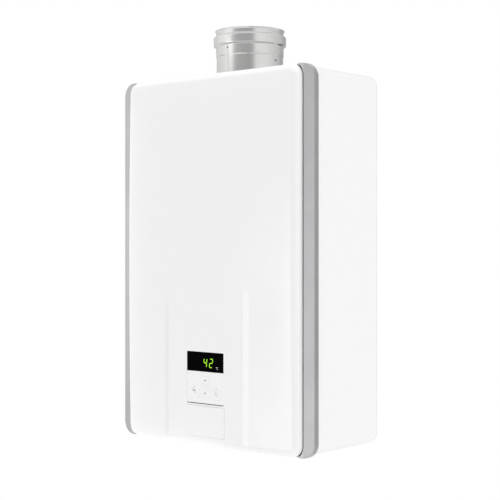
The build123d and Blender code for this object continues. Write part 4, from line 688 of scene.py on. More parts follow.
class Bench:
    """Makes pieces: finishes and shades a mesh and seats it on its body."""

    def __init__(self, loaded: dict[str, Any]) -> None:
        """Takes the loaded frame.
        """
        self.nodes = loaded["nodes"]
        self.slots = {part["node"]: part["material_slot"] for part in loaded["record"].get("subparts", [])}
        self.effects = Effects()
        self.recipes = Recipes()
        self.made: dict[str, bpy.types.Material] = {}

    def material(self, finish: Finish) -> bpy.types.Material:
        """Gives a finish's material, built on first use."""
        if finish.name not in self.made:
            self.made[finish.name] = finish.build(self.effects)
        return self.made[finish.name]

    def paint(self, finish: Finish, *nodes: str) -> None:
        """Gives CAD nodes that stay as they are a finish.

        Args:
            finish: The finish.
            *nodes: Names of the nodes.
        """
        for node in nodes:
            slots = self.nodes[node].data.materials
            slots.clear()
            slots.append(self.material(finish))
            LOG.info("painted %s with %s", node, finish.name)

    def seat(self, mesh: bpy.types.Mesh, name: str, body: str, finishes: Sequence[Finish],
             slot: str | None = None, stands_for: Sequence[str] = ()) -> bpy.types.Object:
        """Links a finished mesh as a piece on its body.

        Args:
            mesh: The mesh, in the frame's axes.
            name: The piece's name.
            body: The body that it rides on.
            finishes: Finishes in the order of the mesh's material indices.
            slot: The record's material slot; not used.
            stands_for: CAD nodes that it replaces.

        Returns:
            The piece.
        """
        indices = [min(face.material_index, len(finishes) - 1) for face in mesh.polygons]
        mesh.materials.clear()
        for finish in finishes:
            mesh.materials.append(self.material(finish))
        mesh.polygons.foreach_set("material_index", indices)
        piece = bpy.data.objects.new(name, mesh)
        bpy.context.scene.collection.objects.link(piece)
        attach(piece, body)
        if stands_for:
            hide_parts(*stands_for)
        LOG.info("%s: %d faces on %s", name, len(mesh.polygons), body)
        return piece

    def dress(self, node: str, *finishes: Finish, bevel: float = 0.0, angle: float = SHARP_TURN,
              rows: bool = False) -> bpy.types.Object:
        """Replaces a CAD node by a merged, smoothly shaded copy with softened edges.

        Args:
            node: The CAD node.
            *finishes: One finish, or one for each separate solid from left to right.
            bevel: Width of the softened edges, or 0 for none.
            angle: Angle in degrees above which an edge stays sharp.
            rows: Whether the finishes go by rows of solids from the bottom up instead.

        Returns:
            The new piece.
        """
        source = self.nodes[node]
        shape = bmesh.new()
        shape.from_mesh(source.data)
        bmesh.ops.remove_doubles(shape, verts=shape.verts, dist=WELD)
        if bevel:
            bmesh.ops.dissolve_limit(shape, angle_limit=math.radians(FLAT_TURN), verts=shape.verts,
                                     edges=shape.edges)
        if len(finishes) > 1:
            self._number_solids(shape, len(finishes), rows)
        mesh = bpy.data.meshes.new(f"{node}.dressed")
        shape.to_mesh(mesh)
        shape.free()
        for _ in finishes:
            mesh.materials.append(None)
        mesh = self.soften(mesh, bevel, angle)
        return self.seat(mesh, f"{node}.dressed", source["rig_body"], finishes, self.slots.get(node), [node])

    def shade_sides(self, piece: bpy.types.Object, finish: Finish, lean: float = 0.75) -> None:
        """Gives the faces of a piece that look left or right a finish of their own, a darker copy that paints
        shade on those sides.

        Args:
            piece: The piece.
            finish: The finish for those faces, darker as painted shade.
            lean: Least share of left or right in such a face's normal.
        """
        piece.data.materials.append(self.material(finish))
        for face in piece.data.polygons:
            if abs(face.normal.x) > lean:
                face.material_index = len(piece.data.materials) - 1

    @staticmethod
    def _number_solids(shape: bmesh.types.BMesh, count: int, rows: bool) -> None:
        """Numbers the separate solids' materials from left to right, or their rows from the bottom up.

        Args:
            shape: The merged mesh.
            count: How many indices there are.
            rows: Whether the solids of a row share an index.
        """
        left = set(shape.faces)
        islands = []
        while left:
            front = [left.pop()]
            island = []
            while front:
                face = front.pop()
                island.append(face)
                for edge in face.edges:
                    for near in edge.link_faces:
                        if near in left:
                            left.remove(near)
                            front.append(near)
            islands.append(island)
        order = (2, 0, 1) if rows else (0, 2, 1)
        islands.sort(key=lambda faces: tuple(min(v.co[axis] for f in faces for v in f.verts)
                                             for axis in order))
        place, top = -1, -math.inf
        for island in islands:
            heights = [v.co.z for face in island for v in face.verts]
            if not rows or min(heights) > top:
                place += 1
            top = max(top, max(heights))
            for face in island:
                face.material_index = place % count

    @staticmethod
    def soften(mesh: bpy.types.Mesh, bevel: float, angle: float) -> bpy.types.Mesh:
        """Rounds the sharp edges and shades the rest smooth, led by the large faces.

        Args:
            mesh: The mesh to soften.
            bevel: Width of the rounded edges, or 0 for none.
            angle: Angle in degrees above which an edge stays sharp.

        Returns:
            The softened mesh.
        """
        mesh.shade_smooth()
        mesh.set_sharp_from_angle(angle=math.radians(angle))
        carrier = bpy.data.objects.new("carrier", mesh)
        bpy.context.scene.collection.objects.link(carrier)
        if bevel:
            edge = carrier.modifiers.new("edge", "BEVEL")
            edge.width = bevel
            edge.segments = EDGE_PARTS
            edge.limit_method = "ANGLE"
            edge.angle_limit = math.radians(angle)
            edge.use_clamp_overlap = True
            edge.miter_outer = "MITER_ARC"
        weight = carrier.modifiers.new("weight", "WEIGHTED_NORMAL")
        weight.keep_sharp = True
        weight.weight = FACE_WEIGHT
        bpy.context.view_layer.update()
        graph = bpy.context.evaluated_depsgraph_get()
        made = bpy.data.meshes.new_from_object(carrier.evaluated_get(graph))
        made.name = mesh.name
        carrier.modifiers.clear()
        bpy.data.objects.remove(carrier)
        bpy.data.meshes.remove(mesh)
        return made


def plain_mesh(name: str, points: Sequence[Any], faces: Sequence[Sequence[int]],
               angle: float = SHARP_TURN) -> bpy.types.Mesh:
    """Makes a mesh from points and faces, with outward normals and smooth shading.

    Args:
        name: The mesh's name.
        points: Vertex places.
        faces: Vertex numbers of each face.
        angle: Angle in degrees above which an edge stays sharp.

    Returns:
        The mesh.
    """
    mesh = bpy.data.meshes.new(name)
    mesh.from_pydata([tuple(p) for p in points], [], [tuple(f) for f in faces])
    shape = bmesh.new()
    shape.from_mesh(mesh)
    bmesh.ops.remove_doubles(shape, verts=shape.verts, dist=SIGN_WELD)
    bmesh.ops.recalc_face_normals(shape, faces=shape.faces)
    shape.to_mesh(mesh)
    shape.free()
    mesh.shade_smooth()
    mesh.set_sharp_from_angle(angle=math.radians(angle))
    return mesh


def raised_shapes(name: str, outlines: Sequence[Sequence[Flat]], back: float, front: float) -> bpy.types.Mesh:
    """Makes thin flat shapes that face the room.

    Args:
        name: The mesh's name.
        outlines: Outlines of (X, Z) points, turning counter-clockwise seen from the room.
        back: Depth of their backs from the wall.
        front: Depth of their fronts from the wall.

    Returns:
        The mesh.
    """
    points: list[Point] = []
    faces: list[list[int]] = []
    for outline in outlines:
        start, count = len(points), len(outline)
        points += [(x, -front, z) for x, z in outline]
        points += [(x, -back, z) for x, z in outline]
        faces.append([start + k for k in range(count)])
        faces.append([start + count + k for k in reversed(range(count))])
        for k in range(count):
            after = (k + 1) % count
            faces.append([start + k, start + count + k, start + count + after, start + after])
    return plain_mesh(name, points, faces, SIGN_TURN)


def arc_band(x: float, z: float, radius: float, width: float, start: float, end: float,
             steps: int = 28) -> list[Flat]:
    """Gives the outline of a bent band.

    Args:
        x: Middle of the bend.
        z: Middle of the bend.
        radius: Radius of the band's middle line.
        width: The band's width.
        start: First angle in degrees.
        end: Last angle in degrees.
        steps: How many chords the band has.

    Returns:
        The outline.
    """
    angles = [math.radians(start + (end - start) * k / steps) for k in range(steps + 1)]
    far = [(x + (radius + width / 2) * math.cos(a), z + (radius + width / 2) * math.sin(a)) for a in angles]
    near = [(x + (radius - width / 2) * math.cos(a), z + (radius - width / 2) * math.sin(a)) for a in angles]
    return far + near[::-1]


def box_outline(x0: float, x1: float, z0: float, z1: float) -> list[Flat]:
    """Gives the outline of a plain rectangle, counter-clockwise seen from the room."""
    return [(x0, z0), (x1, z0), (x1, z1), (x0, z1)]


def rounded_outline(x0: float, x1: float, z0: float, z1: float, corner: float, steps: int = 6) -> list[Flat]:
    """Gives the outline of a rounded rectangle, counter-clockwise seen from the room.

    Args:
        x0: Left edge.
        x1: Right edge.
        z0: Lower edge.
        z1: Upper edge.
        corner: Corner radius.
        steps: Chords in each corner.

    Returns:
        The outline.
    """
    points = []
    for x, z, turn in ((x1 - corner, z0 + corner, -90), (x1 - corner, z1 - corner, 0),
                       (x0 + corner, z1 - corner, 90), (x0 + corner, z0 + corner, 180)):
        for k in range(steps + 1):
            a = math.radians(turn + 90 * k / steps)
            points.append((x + corner * math.cos(a), z + corner * math.sin(a)))
    return points


def folded_profile(points: Sequence[Flat], folds: Sequence[float], steps: int = 5) -> list[Flat]:
    """Rounds the bends of a sheet's profile.

    Args:
        points: The profile's corners as radius and height.
        folds: The radius of the bend at each corner, or 0 for a sharp one.
        steps: Parts of each bend.

    Returns:
        The rounded profile.
    """
    made: list[Flat] = []
    for k, (place, fold) in enumerate(zip(points, folds)):
        here = Vector(place)
        if not fold:
            made.append(place)
            continue
        back = (Vector(points[k - 1]) - here).normalized()
        ahead = (Vector(points[k + 1]) - here).normalized()
        half = back.angle(ahead) / 2
        middle = here + (back + ahead).normalized() * fold / math.sin(half)
        reach = fold / math.tan(half)
        start, end = here + back * reach - middle, here + ahead * reach - middle
        for step in range(steps + 1):
            spoke = start.lerp(end, step / steps).normalized() * fold
            made.append((middle.x + spoke.x, middle.y + spoke.y))
    return made


def turned_mesh(name: str, profile: Sequence[Flat], x: float, y: float, parts: int = 192) -> bpy.types.Mesh:
    """Turns a closed profile round an upright axis.

    Args:
        name: The mesh's name.
        profile: The profile as radius and height.
        x: Place of the axis across.
        y: Place of the axis in depth.
        parts: Parts of the full turn.

    Returns:
        The mesh.
    """
    points = [(x + r * math.cos(a), y + r * math.sin(a), z)
              for a in (2 * math.pi * n / parts for n in range(parts)) for r, z in profile]
    count = len(profile)
    faces = [(n * count + k, (n + 1) % parts * count + k, (n + 1) % parts * count + (k + 1) % count,
              n * count + (k + 1) % count) for n in range(parts) for k in range(count)]
    return plain_mesh(name, points, faces)


@dataclass
class FrontCover:
    """The domed sheet cover with its trims, frame and blank plate."""

    wall: float = 1.2 * MM
    corner: float = 22.0 * MM
    edge: float = 13.5 * MM
    frame_edge: float = 0.2 * MM
    trim_edge: float = 0.5 * MM
    plate_edge: float = 0.35 * MM
    crown_x: float = 3.0 * MM
    crown_z: float = 4.0 * MM
    tongue_half: float = 92.0 * MM
    tongue_foot: float = 103.0 * MM
    tongue_sink: float = 0.6 * MM
    tongue_rise: float = 1.6 * MM
    rise_top: float = -28.0 * MM
    rise_full: float = -110.0 * MM
    brow_soft: float = 0.25 * MM
    side_reach: float = 195.0 * MM
    pillow_side: float = 46.0 * MM
    pillow_top: float = 24.0 * MM
    pillow_low: float = 16.0 * MM
    pillow_slope: float = 0.1
    hole_gap: float = 0.3 * MM
    panel_shadow: float = 1.5 * MM
    # Sizes of the dark strips of painted shade in the gaps beside the trims
    shade_strip_t: float = 0.5 * MM
    shade_strip_turn: float = 70.0
    shade_strip_back: float = 210.0 * MM
    shade_strip_front: float = 221.7 * MM
    shade_strip_lap: float = 0.02 * MM
    hole_frame: float = 1.0 * MM
    panel_corner: float = 2.0 * MM
    plate_corner: float = 4.0 * MM
    plate_lip: float = 4.0 * MM
    edge_parts: int = 15
    edge_guard: float = 0.2 * MM
    crease_from: float = 80.0 * MM
    crease_to: float = 110.0 * MM
    crease_step: float = 1.0 * MM
    side_step: float = 4.0 * MM
    flat_step: float = 6.0 * MM
    plate_step: float = 2.0 * MM
    panel_step: float = 7.0 * MM
    low_step: float = 8.0 * MM
    rise_from: float = -70.0 * MM
    rise_to: float = 5.0 * MM
    rise_step: float = 3.0 * MM
    top_step: float = 9.0 * MM

    def __post_init__(self) -> None:
        """Takes the outside sizes from the CAD nodes."""
        low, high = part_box("front_cover")
        self.half_w = high.x
        self.half_h = high.z
        self.crest = -low.y
        self.back = -high.y
        self.tongue_front = self.crest - self.tongue_sink

    def dome(self, x: float, z: float) -> float:
        """Gives the depth of the plain dome at a point.

        Args:
            x: Place across.
            z: Place up.

        Returns:
            The depth from the wall.
        """
        radius_x = (self.half_w ** 2 + self.crown_x ** 2) / (2 * self.crown_x)
        radius_z = (self.half_h ** 2 + self.crown_z ** 2) / (2 * self.crown_z)
        sag = radius_x - math.sqrt(radius_x ** 2 - x * x)
        return self.crest - radius_z + math.sqrt((radius_z - sag) ** 2 - z * z)

    def brow(self, x: float, z: float) -> float:
        """Gives the depth of the flat tongue where it stands out of the dome, and of the dome elsewhere.

        Args:
            x: Place across.
            z: Place up.

        Returns:
            The depth from the wall.
        """
        dome = self.dome(x, z)
        if z > 0:
            return dome
        step = self.tongue_front - dome
        soft = self.brow_soft * min(1.0, z / self.rise_full)
        return min(self.crest, dome + (step + math.hypot(step, soft)) / 2)

    def face(self, x: float, z: float) -> float:
        """Gives the depth of the front at a point, before the edge is rounded.

        Args:
            x: Place across.
            z: Place up.

        Returns:
            The depth from the wall.
        """
        across = abs(x)
        away = ((self.half_w - across, self.pillow_side), (self.half_h - z, self.pillow_top),
                (self.half_h + z, self.pillow_low))
        drop = sum(self.pillow_slope * reach / 3 * max(0.0, 1 - distance / reach) ** 3
                   for distance, reach in away)
        return self.sheet_front(across, z) - drop

    def sheet_front(self, across: float, z: float) -> float:
        """Gives the depth of dome and tongue together.

        Args:
            across: Distance from the middle line.
            z: Place up.

        Returns:
            The depth from the wall.
        """
        if across <= self.tongue_half:
            return self.brow(across, z)
        share = min(1.0, max(0.0, (self.rise_top - z) / (self.rise_top - self.rise_full)))
        rise = self.tongue_rise * share * share * (3 - 2 * share)
        top = self.brow(self.tongue_half, z)
        foot = top - (self.dome(self.tongue_half, z) - self.dome(self.tongue_foot, z)) - rise
        if across < self.tongue_foot:
            return top + (foot - top) * (across - self.tongue_half) / (self.tongue_foot - self.tongue_half)
        along = min(1.0, (across - self.tongue_foot) / (self.side_reach - self.tongue_foot))
        lift = (foot - self.dome(self.tongue_foot, z)) * (1 + math.cos(math.pi * along)) / 2
        return self.dome(across, z) + lift

    def _rows(self, inset: float) -> list[float]:
        """Gives distances from the edge for the rows that round it, up to the corner's middle.

        Args:
            inset: How far the skin lies inside the cover's outside.

        Returns:
            The distances.
        """
        radius = self.edge - inset
        turn = math.pi / 2 / self.edge_parts
        rows = [radius * (1 - math.cos(turn * k)) for k in range(self.edge_parts + 1)]
        plate_row = self.half_h + self.holes()[1][2] - self.hole_frame - inset
        return rows + [radius + self.edge_guard, plate_row, self.corner - inset]

    @staticmethod
    def _spaced(stops: Sequence[Flat], last: float) -> list[float]:
        """Gives evenly spaced places between stops.

        Args:
            stops: (place, step to use after it), in order.
            last: The last place.

        Returns:
            The places, without the first and the last.
        """
        places: list[float] = []
        ends = [place for place, _ in stops[1:]] + [last]
        for (place, step), end in zip(stops, ends):
            count = max(1, round((end - place) / step))
            places += [place + (end - place) * k / count for k in range(count)]
        return places[1:]

    def _lines(self, inset: float) -> tuple[list[float], list[float]]:
        """Gives the grid's lines, which lie closer at the edges, the creases and the openings.

        Args:
            inset: How far the skin lies inside the cover's outside.

        Returns:
            The lines across and the lines up.
        """
        rows = self._rows(inset)
        wide, tall = self.half_w - self.corner, self.half_h - self.corner
        near, far, margin = self.crease_from, self.crease_to, self.hole_frame
        panel, plate = self.holes()
        panel_x, plate_x = panel[1] + margin, plate[1] + margin
        inner_x = self._spaced([
            (-wide, self.side_step), (-far, self.crease_step), (-near, self.flat_step),
            (-plate_x, self.plate_step), (-panel_x, self.panel_step), (panel_x, self.plate_step),
            (plate_x, self.flat_step), (near, self.crease_step), (far, self.side_step)], wide)
        inner_z = self._spaced([
            (-tall, self.low_step), (plate[3] + margin, self.plate_step), (panel[2] - margin, self.low_step),
            (panel[3] + margin, self.panel_step), (self.rise_from, self.rise_step),
            (self.rise_to, self.top_step)], tall)
        edge_x, edge_z = self.half_w - inset, self.half_h - inset
        xs = [-edge_x + e for e in rows] + inner_x + [edge_x - e for e in reversed(rows)]
        zs = [-edge_z + e for e in rows] + inner_z + [edge_z - e for e in reversed(rows)]
        return xs, zs

    def holes(self) -> list[tuple[float, float, float, float]]:
        """Gives the openings for the panel and the blank plate.

        Returns:
            The left, right, lower and upper edge of each.
        """
        low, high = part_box("key_fascia")
        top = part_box("display_window")[1].z
        plate_low, plate_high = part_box("service_plate")
        half = plate_high.x - self.plate_lip
        gap = self.hole_gap
        return [(low.x - gap, high.x + gap, low.z - self.panel_shadow, top + gap),
                (-half - gap, half + gap, plate_low.z - gap, plate_high.z + gap)]

    def _grid(self, shape: bmesh.types.BMesh, xs: Sequence[float], zs: Sequence[float],
              inset: float) -> list[list[Any]]:
        """Adds the vertices of one skin, bent round the edges and the corners.

        Args:
            shape: The mesh to add to.
            xs: The grid's lines across.
            zs: The grid's lines up.
            inset: How far the skin lies inside the cover's outside.

        Returns:
            The columns of vertices.
        """
        radius, corner = self.edge - inset, self.corner - inset
        wide, tall = self.half_w - self.corner, self.half_h - self.corner
        grid = []
        for x in xs:
            column = []
            for z in zs:
                a, b = max(0.0, abs(x) - wide), max(0.0, abs(z) - tall)
                reach = max(a, b)
                px, pz = x, z
                if a > 0 and b > 0:
                    turn = math.pi / 4 * b / a if a > b else math.pi / 2 - math.pi / 4 * a / b
                    px = math.copysign(wide + reach * math.cos(turn), x)
                    pz = math.copysign(tall + reach * math.sin(turn), z)
                e = corner - reach
                drop = radius - math.sqrt(max(0.0, radius ** 2 - (radius - e) ** 2)) if e < radius else 0.0
                column.append(shape.verts.new((px, drop + inset - self.face(px, pz), pz)))
            grid.append(column)
        return grid

    @staticmethod
    def _border(grid: list[list[Any]], left: int, right: int, low: int, high: int) -> list[Any]:
        """Gives the vertices round a rectangle of the grid.

        Args:
            grid: The columns of vertices.
            left: First column.
            right: Last column.
            low: First row.
            high: Last row.

        Returns:
            The vertices, counter-clockwise seen from the room.
        """
        ring = [grid[i][low] for i in range(left, right)]
        ring += [grid[right][j] for j in range(low, high)]
        ring += [grid[i][high] for i in range(right, left, -1)]
        return ring + [grid[left][j] for j in range(high, low, -1)]

    def _opening(self, shape: bmesh.types.BMesh, border: list[Any], outline: Sequence[Flat],
                 inset: float) -> list[Any]:
        """Fills the sheet between an opening and the grid round it.

        Args:
            shape: The mesh to add to.
            border: The grid's vertices round the opening.
            outline: The opening's outline.
            inset: How far the skin lies inside the cover's outside.

        Returns:
            The vertices of the opening's rim.
        """
        rim = [shape.verts.new((x, inset - self.face(x, z), z)) for x, z in outline]
        edges = [shape.edges.get((a, b)) for a, b in zip(border, border[1:] + border[:1])]
        edges += [shape.edges.new((a, b)) for a, b in zip(rim, rim[1:] + rim[:1])]
        bmesh.ops.triangle_fill(shape, edges=edges, use_beauty=True, normal=(0, -1, 0))
        return rim

    def _skin(self, shape: bmesh.types.BMesh, inset: float) -> tuple[list[Any], list[list[Any]]]:
        """Adds one skin of the sheet to the mesh.

        Args:
            shape: The mesh to add to.
            inset: How far the skin lies inside the cover's outside.

        Returns:
            The vertices of its rim, in order, and those of each opening's rim.
        """
        xs, zs = self._lines(inset)
        grid = self._grid(shape, xs, zs, inset)
        margin = self.hole_frame
        spans = []
        for x0, x1, z0, z1 in self.holes():
            places = ((xs, x0 - margin), (xs, x1 + margin), (zs, z0 - margin), (zs, z1 + margin))
            spans.append([min(range(len(line)), key=lambda k: abs(line[k] - place))
                          for line, place in places])
        for i in range(len(xs) - 1):
            for j in range(len(zs) - 1):
                if not any(left <= i < right and low <= j < high for left, right, low, high in spans):
                    shape.faces.new((grid[i][j], grid[i + 1][j], grid[i + 1][j + 1], grid[i][j + 1]))
        rims = []
        for hole, span, corner in zip(self.holes(), spans, (self.panel_corner, self.plate_corner)):
            outline = rounded_outline(*hole, corner)
            rims.append(self._opening(shape, self._border(grid, *span), outline, inset))
        return self._border(grid, 0, len(xs) - 1, 0, len(zs) - 1), rims

    @staticmethod
    def _bridge(shape: bmesh.types.BMesh, first: list[Any], second: list[Any]) -> None:
        """Joins two rings of as many vertices by a strip of faces.

        Args:
            shape: The mesh to add to.
            first: One ring.
            second: The other ring.
        """
        count = len(first)
        for k in range(count):
            after = (k + 1) % count
            shape.faces.new((first[k], first[after], second[after], second[k]))

    def _skirt(self, shape: bmesh.types.BMesh, rim: list[Any]) -> list[Any]:
        """Runs the sheet's side from a skin's rim straight back to the frame.

        Args:
            shape: The mesh to add to.
            rim: The skin's rim.

        Returns:
            The ring at the back.
        """
        for share in (0.5, 1.0):
            back = [shape.verts.new((v.co.x, v.co.y + (-self.back - v.co.y) * share, v.co.z)) for v in rim]
            self._bridge(shape, rim, back)
            rim = back
        return rim

    def sheet(self) -> bpy.types.Mesh:
        """Builds the cover as one closed sheet with rounded openings.

        Returns:
            The mesh.
        """
        shape = bmesh.new()
        outer_rim, outer_holes = self._skin(shape, 0.0)
        inner_rim, inner_holes = self._skin(shape, self.wall)
        self._bridge(shape, self._skirt(shape, outer_rim), self._skirt(shape, inner_rim))
        for outer, inner in zip(outer_holes, inner_holes):
            self._bridge(shape, outer, inner)
        bmesh.ops.recalc_face_normals(shape, faces=shape.faces)
        mesh = bpy.data.meshes.new("front_cover.sheet")
        shape.to_mesh(mesh)
        shape.free()
        mesh.shade_smooth()
        mesh.set_sharp_from_angle(angle=math.radians(PRESSED_TURN))
        return mesh

    def _shade_strips(self) -> bpy.types.Mesh:
        """Makes painted shade: dark strips in the gaps between the cover and the trims, which stand in for
        the shadow there.

        Returns:
            The mesh.
        """
        end_x, end_z = self.half_w - self.corner, self.half_h - self.corner
        strips = []
        for side in (-1, 1):
            near, far = sorted((side * (self.half_w - self.shade_strip_lap), side * (self.half_w + self.shade_strip_t)))
            strips.append(box_outline(near, far, -end_z, end_z))
        bend = self.corner + self.shade_strip_t / 2 - self.shade_strip_lap
        for start, up in ((0, 1), (-self.shade_strip_turn, -1)):
            strips.append(arc_band(end_x, up * end_z, bend, self.shade_strip_t, start, start + self.shade_strip_turn, 16))
        return raised_shapes("front_cover.painted_shade_strips", strips, self.shade_strip_back, self.shade_strip_front)

    def build(self, bench: Bench) -> None:
        """Builds and seats the cover's pieces.

        Args:
            bench: The bench that finishes pieces.
        """
        bench.seat(self.sheet(), "front_cover.sheet", "cover", [WHITE_ENAMEL], bench.slots.get("front_cover"),
                   ["front_cover"])
        # Painted shade: dark strips that stand in for the shadow in the gaps beside the trims
        bench.seat(self._shade_strips(), "front_cover.painted_shade_strips", "cover", [RUBBER])
        bench.dress("cover_frame", FRAME_DARK, bevel=self.frame_edge)
        for node in ("left_trim", "right_trim"):
            trim = bench.dress(node, TRIM_GREY, bevel=self.trim_edge)
            # The side faces get the darker copy: painted shade
            bench.shade_sides(trim, TRIM_SIDE_SHADE)
        bench.dress("service_plate", WHITE_ENAMEL, bevel=self.plate_edge)


@dataclass
class ControlPanel:
    """The panel in the cover: display, keys, lamps and printed signs."""

    edge: float = 0.25 * MM
    key_edge: float = 0.06 * MM
    print_t: float = 0.05 * MM
    triangle_w: float = 4.4 * MM
    triangle_h: float = 3.0 * MM
    up_lift: float = 1.4 * MM
    sign_r: float = 3.5 * MM
    line_w: float = 0.55 * MM
    tap_unit: float = 0.68 * MM
    tap_lift: float = 3.6 * MM
    power_lift: float = 1.8 * MM
    power_bar: Flat = (0.4 * MM, 0.9 * MM)
    power_arc: Flat = (125.0, 415.0)
    unit_place: Flat = (8.0 * MM, -2.6 * MM)
    degree_rise: float = 4.4 * MM
    degree_r: float = 0.65 * MM
    degree_w: float = 0.4 * MM
    letter_place: Flat = (3.2 * MM, 2.6 * MM)
    letter_r: float = 1.9 * MM
    letter_w: float = 0.6 * MM
    letter_arc: Flat = (55.0, 305.0)
    key_flange: float = 1.0 * MM
    key_corner: float = 2.0 * MM
    key_gap: float = 0.25 * MM
    # Sizes of the white strips of painted light in the gaps round the keys
    gap_light_w: float = 0.16 * MM
    gap_light_sink: Flat = (0.6 * MM, 0.3 * MM)

    @staticmethod
    def _key(node: str) -> Point:
        """Gives the middle of a key's cap and the depth of its front."""
        low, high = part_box(node)
        return (low.x + high.x) / 2, (low.z + high.z) / 2, -low.y

    def _printed(self, bench: Bench, node: str, body: str, outlines: Sequence[Sequence[Flat]],
                 ink: Finish = PRINT_GREY) -> None:
        """Prints a sign on a key.

        Args:
            bench: The bench that finishes pieces.
            node: The key's node.
            body: The key's body.
            outlines: The sign's outlines.
            ink: The sign's finish.
        """
        front = self._key(node)[2]
        mesh = raised_shapes(f"{node}.sign", outlines, front - self.print_t, front + self.print_t)
        bench.seat(mesh, f"{node}.sign", body, [ink])

    def _gap_light_ring(self, node: str) -> list[list[Flat]]:
        """Gives the outlines of a white strip in the gap round a key, painted light that takes away most of
        the gap's shade.

        Args:
            node: The key's node.

        Returns:
            Four sides and four corners.
        """
        low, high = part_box(node)
        x, z, _ = self._key(node)
        middle = self.key_gap / 2
        across, up = (high.x - low.x) / 2 - self.key_flange, (high.z - low.z) / 2 - self.key_flange
        inner_x, inner_z = across - self.key_corner, up - self.key_corner
        near, far = middle - self.gap_light_w / 2, middle + self.gap_light_w / 2
        ring = []
        for side in (-1, 1):
            z0, z1 = sorted((z + side * (up + near), z + side * (up + far)))
            ring.append(box_outline(x - inner_x, x + inner_x, z0, z1))
            x0, x1 = sorted((x + side * (across + near), x + side * (across + far)))
            ring.append(box_outline(x0, x1, z - inner_z, z + inner_z))
        for start, right, above in ((0, 1, 1), (90, -1, 1), (180, -1, -1), (270, 1, -1)):
            ring.append(arc_band(x + right * (inner_x + middle), z + above * (inner_z + middle),
                                 self.key_corner, self.gap_light_w, start, start + 90, 8))
        return ring

    def _arrow(self, node: str, upward: bool) -> list[Flat]:
        """Gives the outline of a key's arrow head.

        Args:
            node: The key's node.
            upward: Whether it points up.

        Returns:
            The outline.
        """
        x, z, _ = self._key(node)
        half, rise = self.triangle_w / 2, self.triangle_h / 2
        if upward:
            z += self.up_lift
            return [(x - half, z - rise), (x + half, z - rise), (x, z + rise)]
        return [(x - half, z + rise), (x, z - rise), (x + half, z + rise)]

    def _power_sign(self, x: float, z: float) -> list[list[Flat]]:
        """Gives the outlines of the on and off sign.

        Args:
            x: Middle of its ring across.
            z: Middle of its ring up.

        Returns:
            The open ring and the bar.
        """
        half = self.line_w / 2
        bar = box_outline(x - half, x + half, z + self.power_bar[0], z + self.sign_r + self.power_bar[1])
        return [arc_band(x, z, self.sign_r, self.line_w, *self.power_arc), bar]

    def _tap_sign(self, x: float, z: float) -> list[list[Flat]]:
        """Gives the outlines of a small tap with a drop under its spout.

        Args:
            x: Place across of the spout's root.
            z: Place up of the spout's root.

        Returns:
            The neck, the stem, the handle, the spout and the drop.
        """
        u = self.tap_unit
        bars = [box_outline(x + left * u, x + right * u, z + low * u, z + high * u)
                for left, right, low, high in ((-6, 1, 1, 3), (-3, -2, 3, 5), (-5, 0, 5, 6))]
        spout = arc_band(x + u, z - u, 3 * u, 2 * u, 0, 90, 10)
        drop = [(x + 4 * u + 1.1 * u * math.cos(a), z - 4.4 * u + 1.1 * u * math.sin(a))
                for a in (math.radians(150 + 240 * k / 14) for k in range(15))] + [(x + 4 * u, z - 2.2 * u)]
        return [*bars, spout, drop]

    def _unit_sign(self) -> list[list[Flat]]:
        """Gives the outlines of the sign beside the digits.

        Returns:
            The degree ring and the C.
        """
        digits_low, digits_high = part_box("display_digits")
        x, z = digits_high.x + self.unit_place[0], digits_low.z + self.unit_place[1]
        ring = arc_band(x, z + self.degree_rise, self.degree_r, self.degree_w, 0, 359.9)
        letter = arc_band(x + self.letter_place[0], z + self.letter_place[1], self.letter_r, self.letter_w,
                          *self.letter_arc)
        return [ring, letter]

    def build(self, bench: Bench) -> None:
        """Builds and seats the panel's pieces.

        Args:
            bench: The bench that finishes pieces.
        """
        # The housing's dark colour is partly painted shade for the gap below the panel
        bench.dress("panel_housing", HOUSING_SHADE_DARK, bevel=self.edge)
        bench.dress("display_window", WINDOW_BLACK)
        bench.dress("display_digits", DIGIT_GREEN)
        bench.dress("key_fascia", PANEL_WHITE, bevel=self.key_edge)
        bench.dress("status_lamps", LAMP_CLEAR, bevel=self.edge)
        bench.dress("panel_board", BOARD_GREEN)
        rings = []
        for name in ("up", "down", "priority", "power"):
            bench.dress(f"{name}_button", PANEL_WHITE, bevel=self.key_edge)
            rings += self._gap_light_ring(f"{name}_button")
        # Painted light: white strips sunk just into the key gaps, so the gaps show little shade
        back, front = (-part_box("key_fascia")[0].y - sink for sink in self.gap_light_sink)
        gap_light_strips = raised_shapes("key_fascia.painted_gap_light", rings, back, front)
        bench.seat(gap_light_strips, "key_fascia.painted_gap_light", "cover", [PANEL_WHITE], bench.slots.get("key_fascia"))
        self._printed(bench, "up_button", "up_key", [self._arrow("up_button", True)], PRINT_DARK)
        self._printed(bench, "down_button", "down_key", [self._arrow("down_button", False)], PRINT_DARK)
        x, z, _ = self._key("priority_button")
        self._printed(bench, "priority_button", "priority_key", self._tap_sign(x, z + self.tap_lift))
        x, z, _ = self._key("power_button")
        self._printed(bench, "power_button", "power_key", self._power_sign(x, z + self.power_lift))
        glass = -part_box("display_window")[0].y
        unit = raised_shapes("display_window.unit", self._unit_sign(), glass - self.print_t,
                             glass + self.print_t)
        bench.seat(unit, "display_window.unit", "cover", [UNIT_PALE])


@dataclass
class Casing:
    """The white tub with its brackets, screws and base plate."""

    edge: float = 0.3 * MM

    def build(self, bench: Bench) -> None:
        """Builds and seats the casing's pieces.

        Args:
            bench: The bench that finishes pieces.
        """
        bench.dress("rear_casing", CASING_WHITE)
        bench.dress("front_gasket", FOAM_BLACK, bevel=self.edge)
        bench.dress("wall_brackets", ZINC, bevel=self.edge)
        bench.dress("casing_screws", SCREW_STEEL, bevel=self.edge)
        bench.dress("cover_screws", SCREW_STEEL, bevel=self.edge)
        bench.dress("base_plate", ZINC)
        bench.dress("cable_grommet", RUBBER, bevel=2 * self.edge)


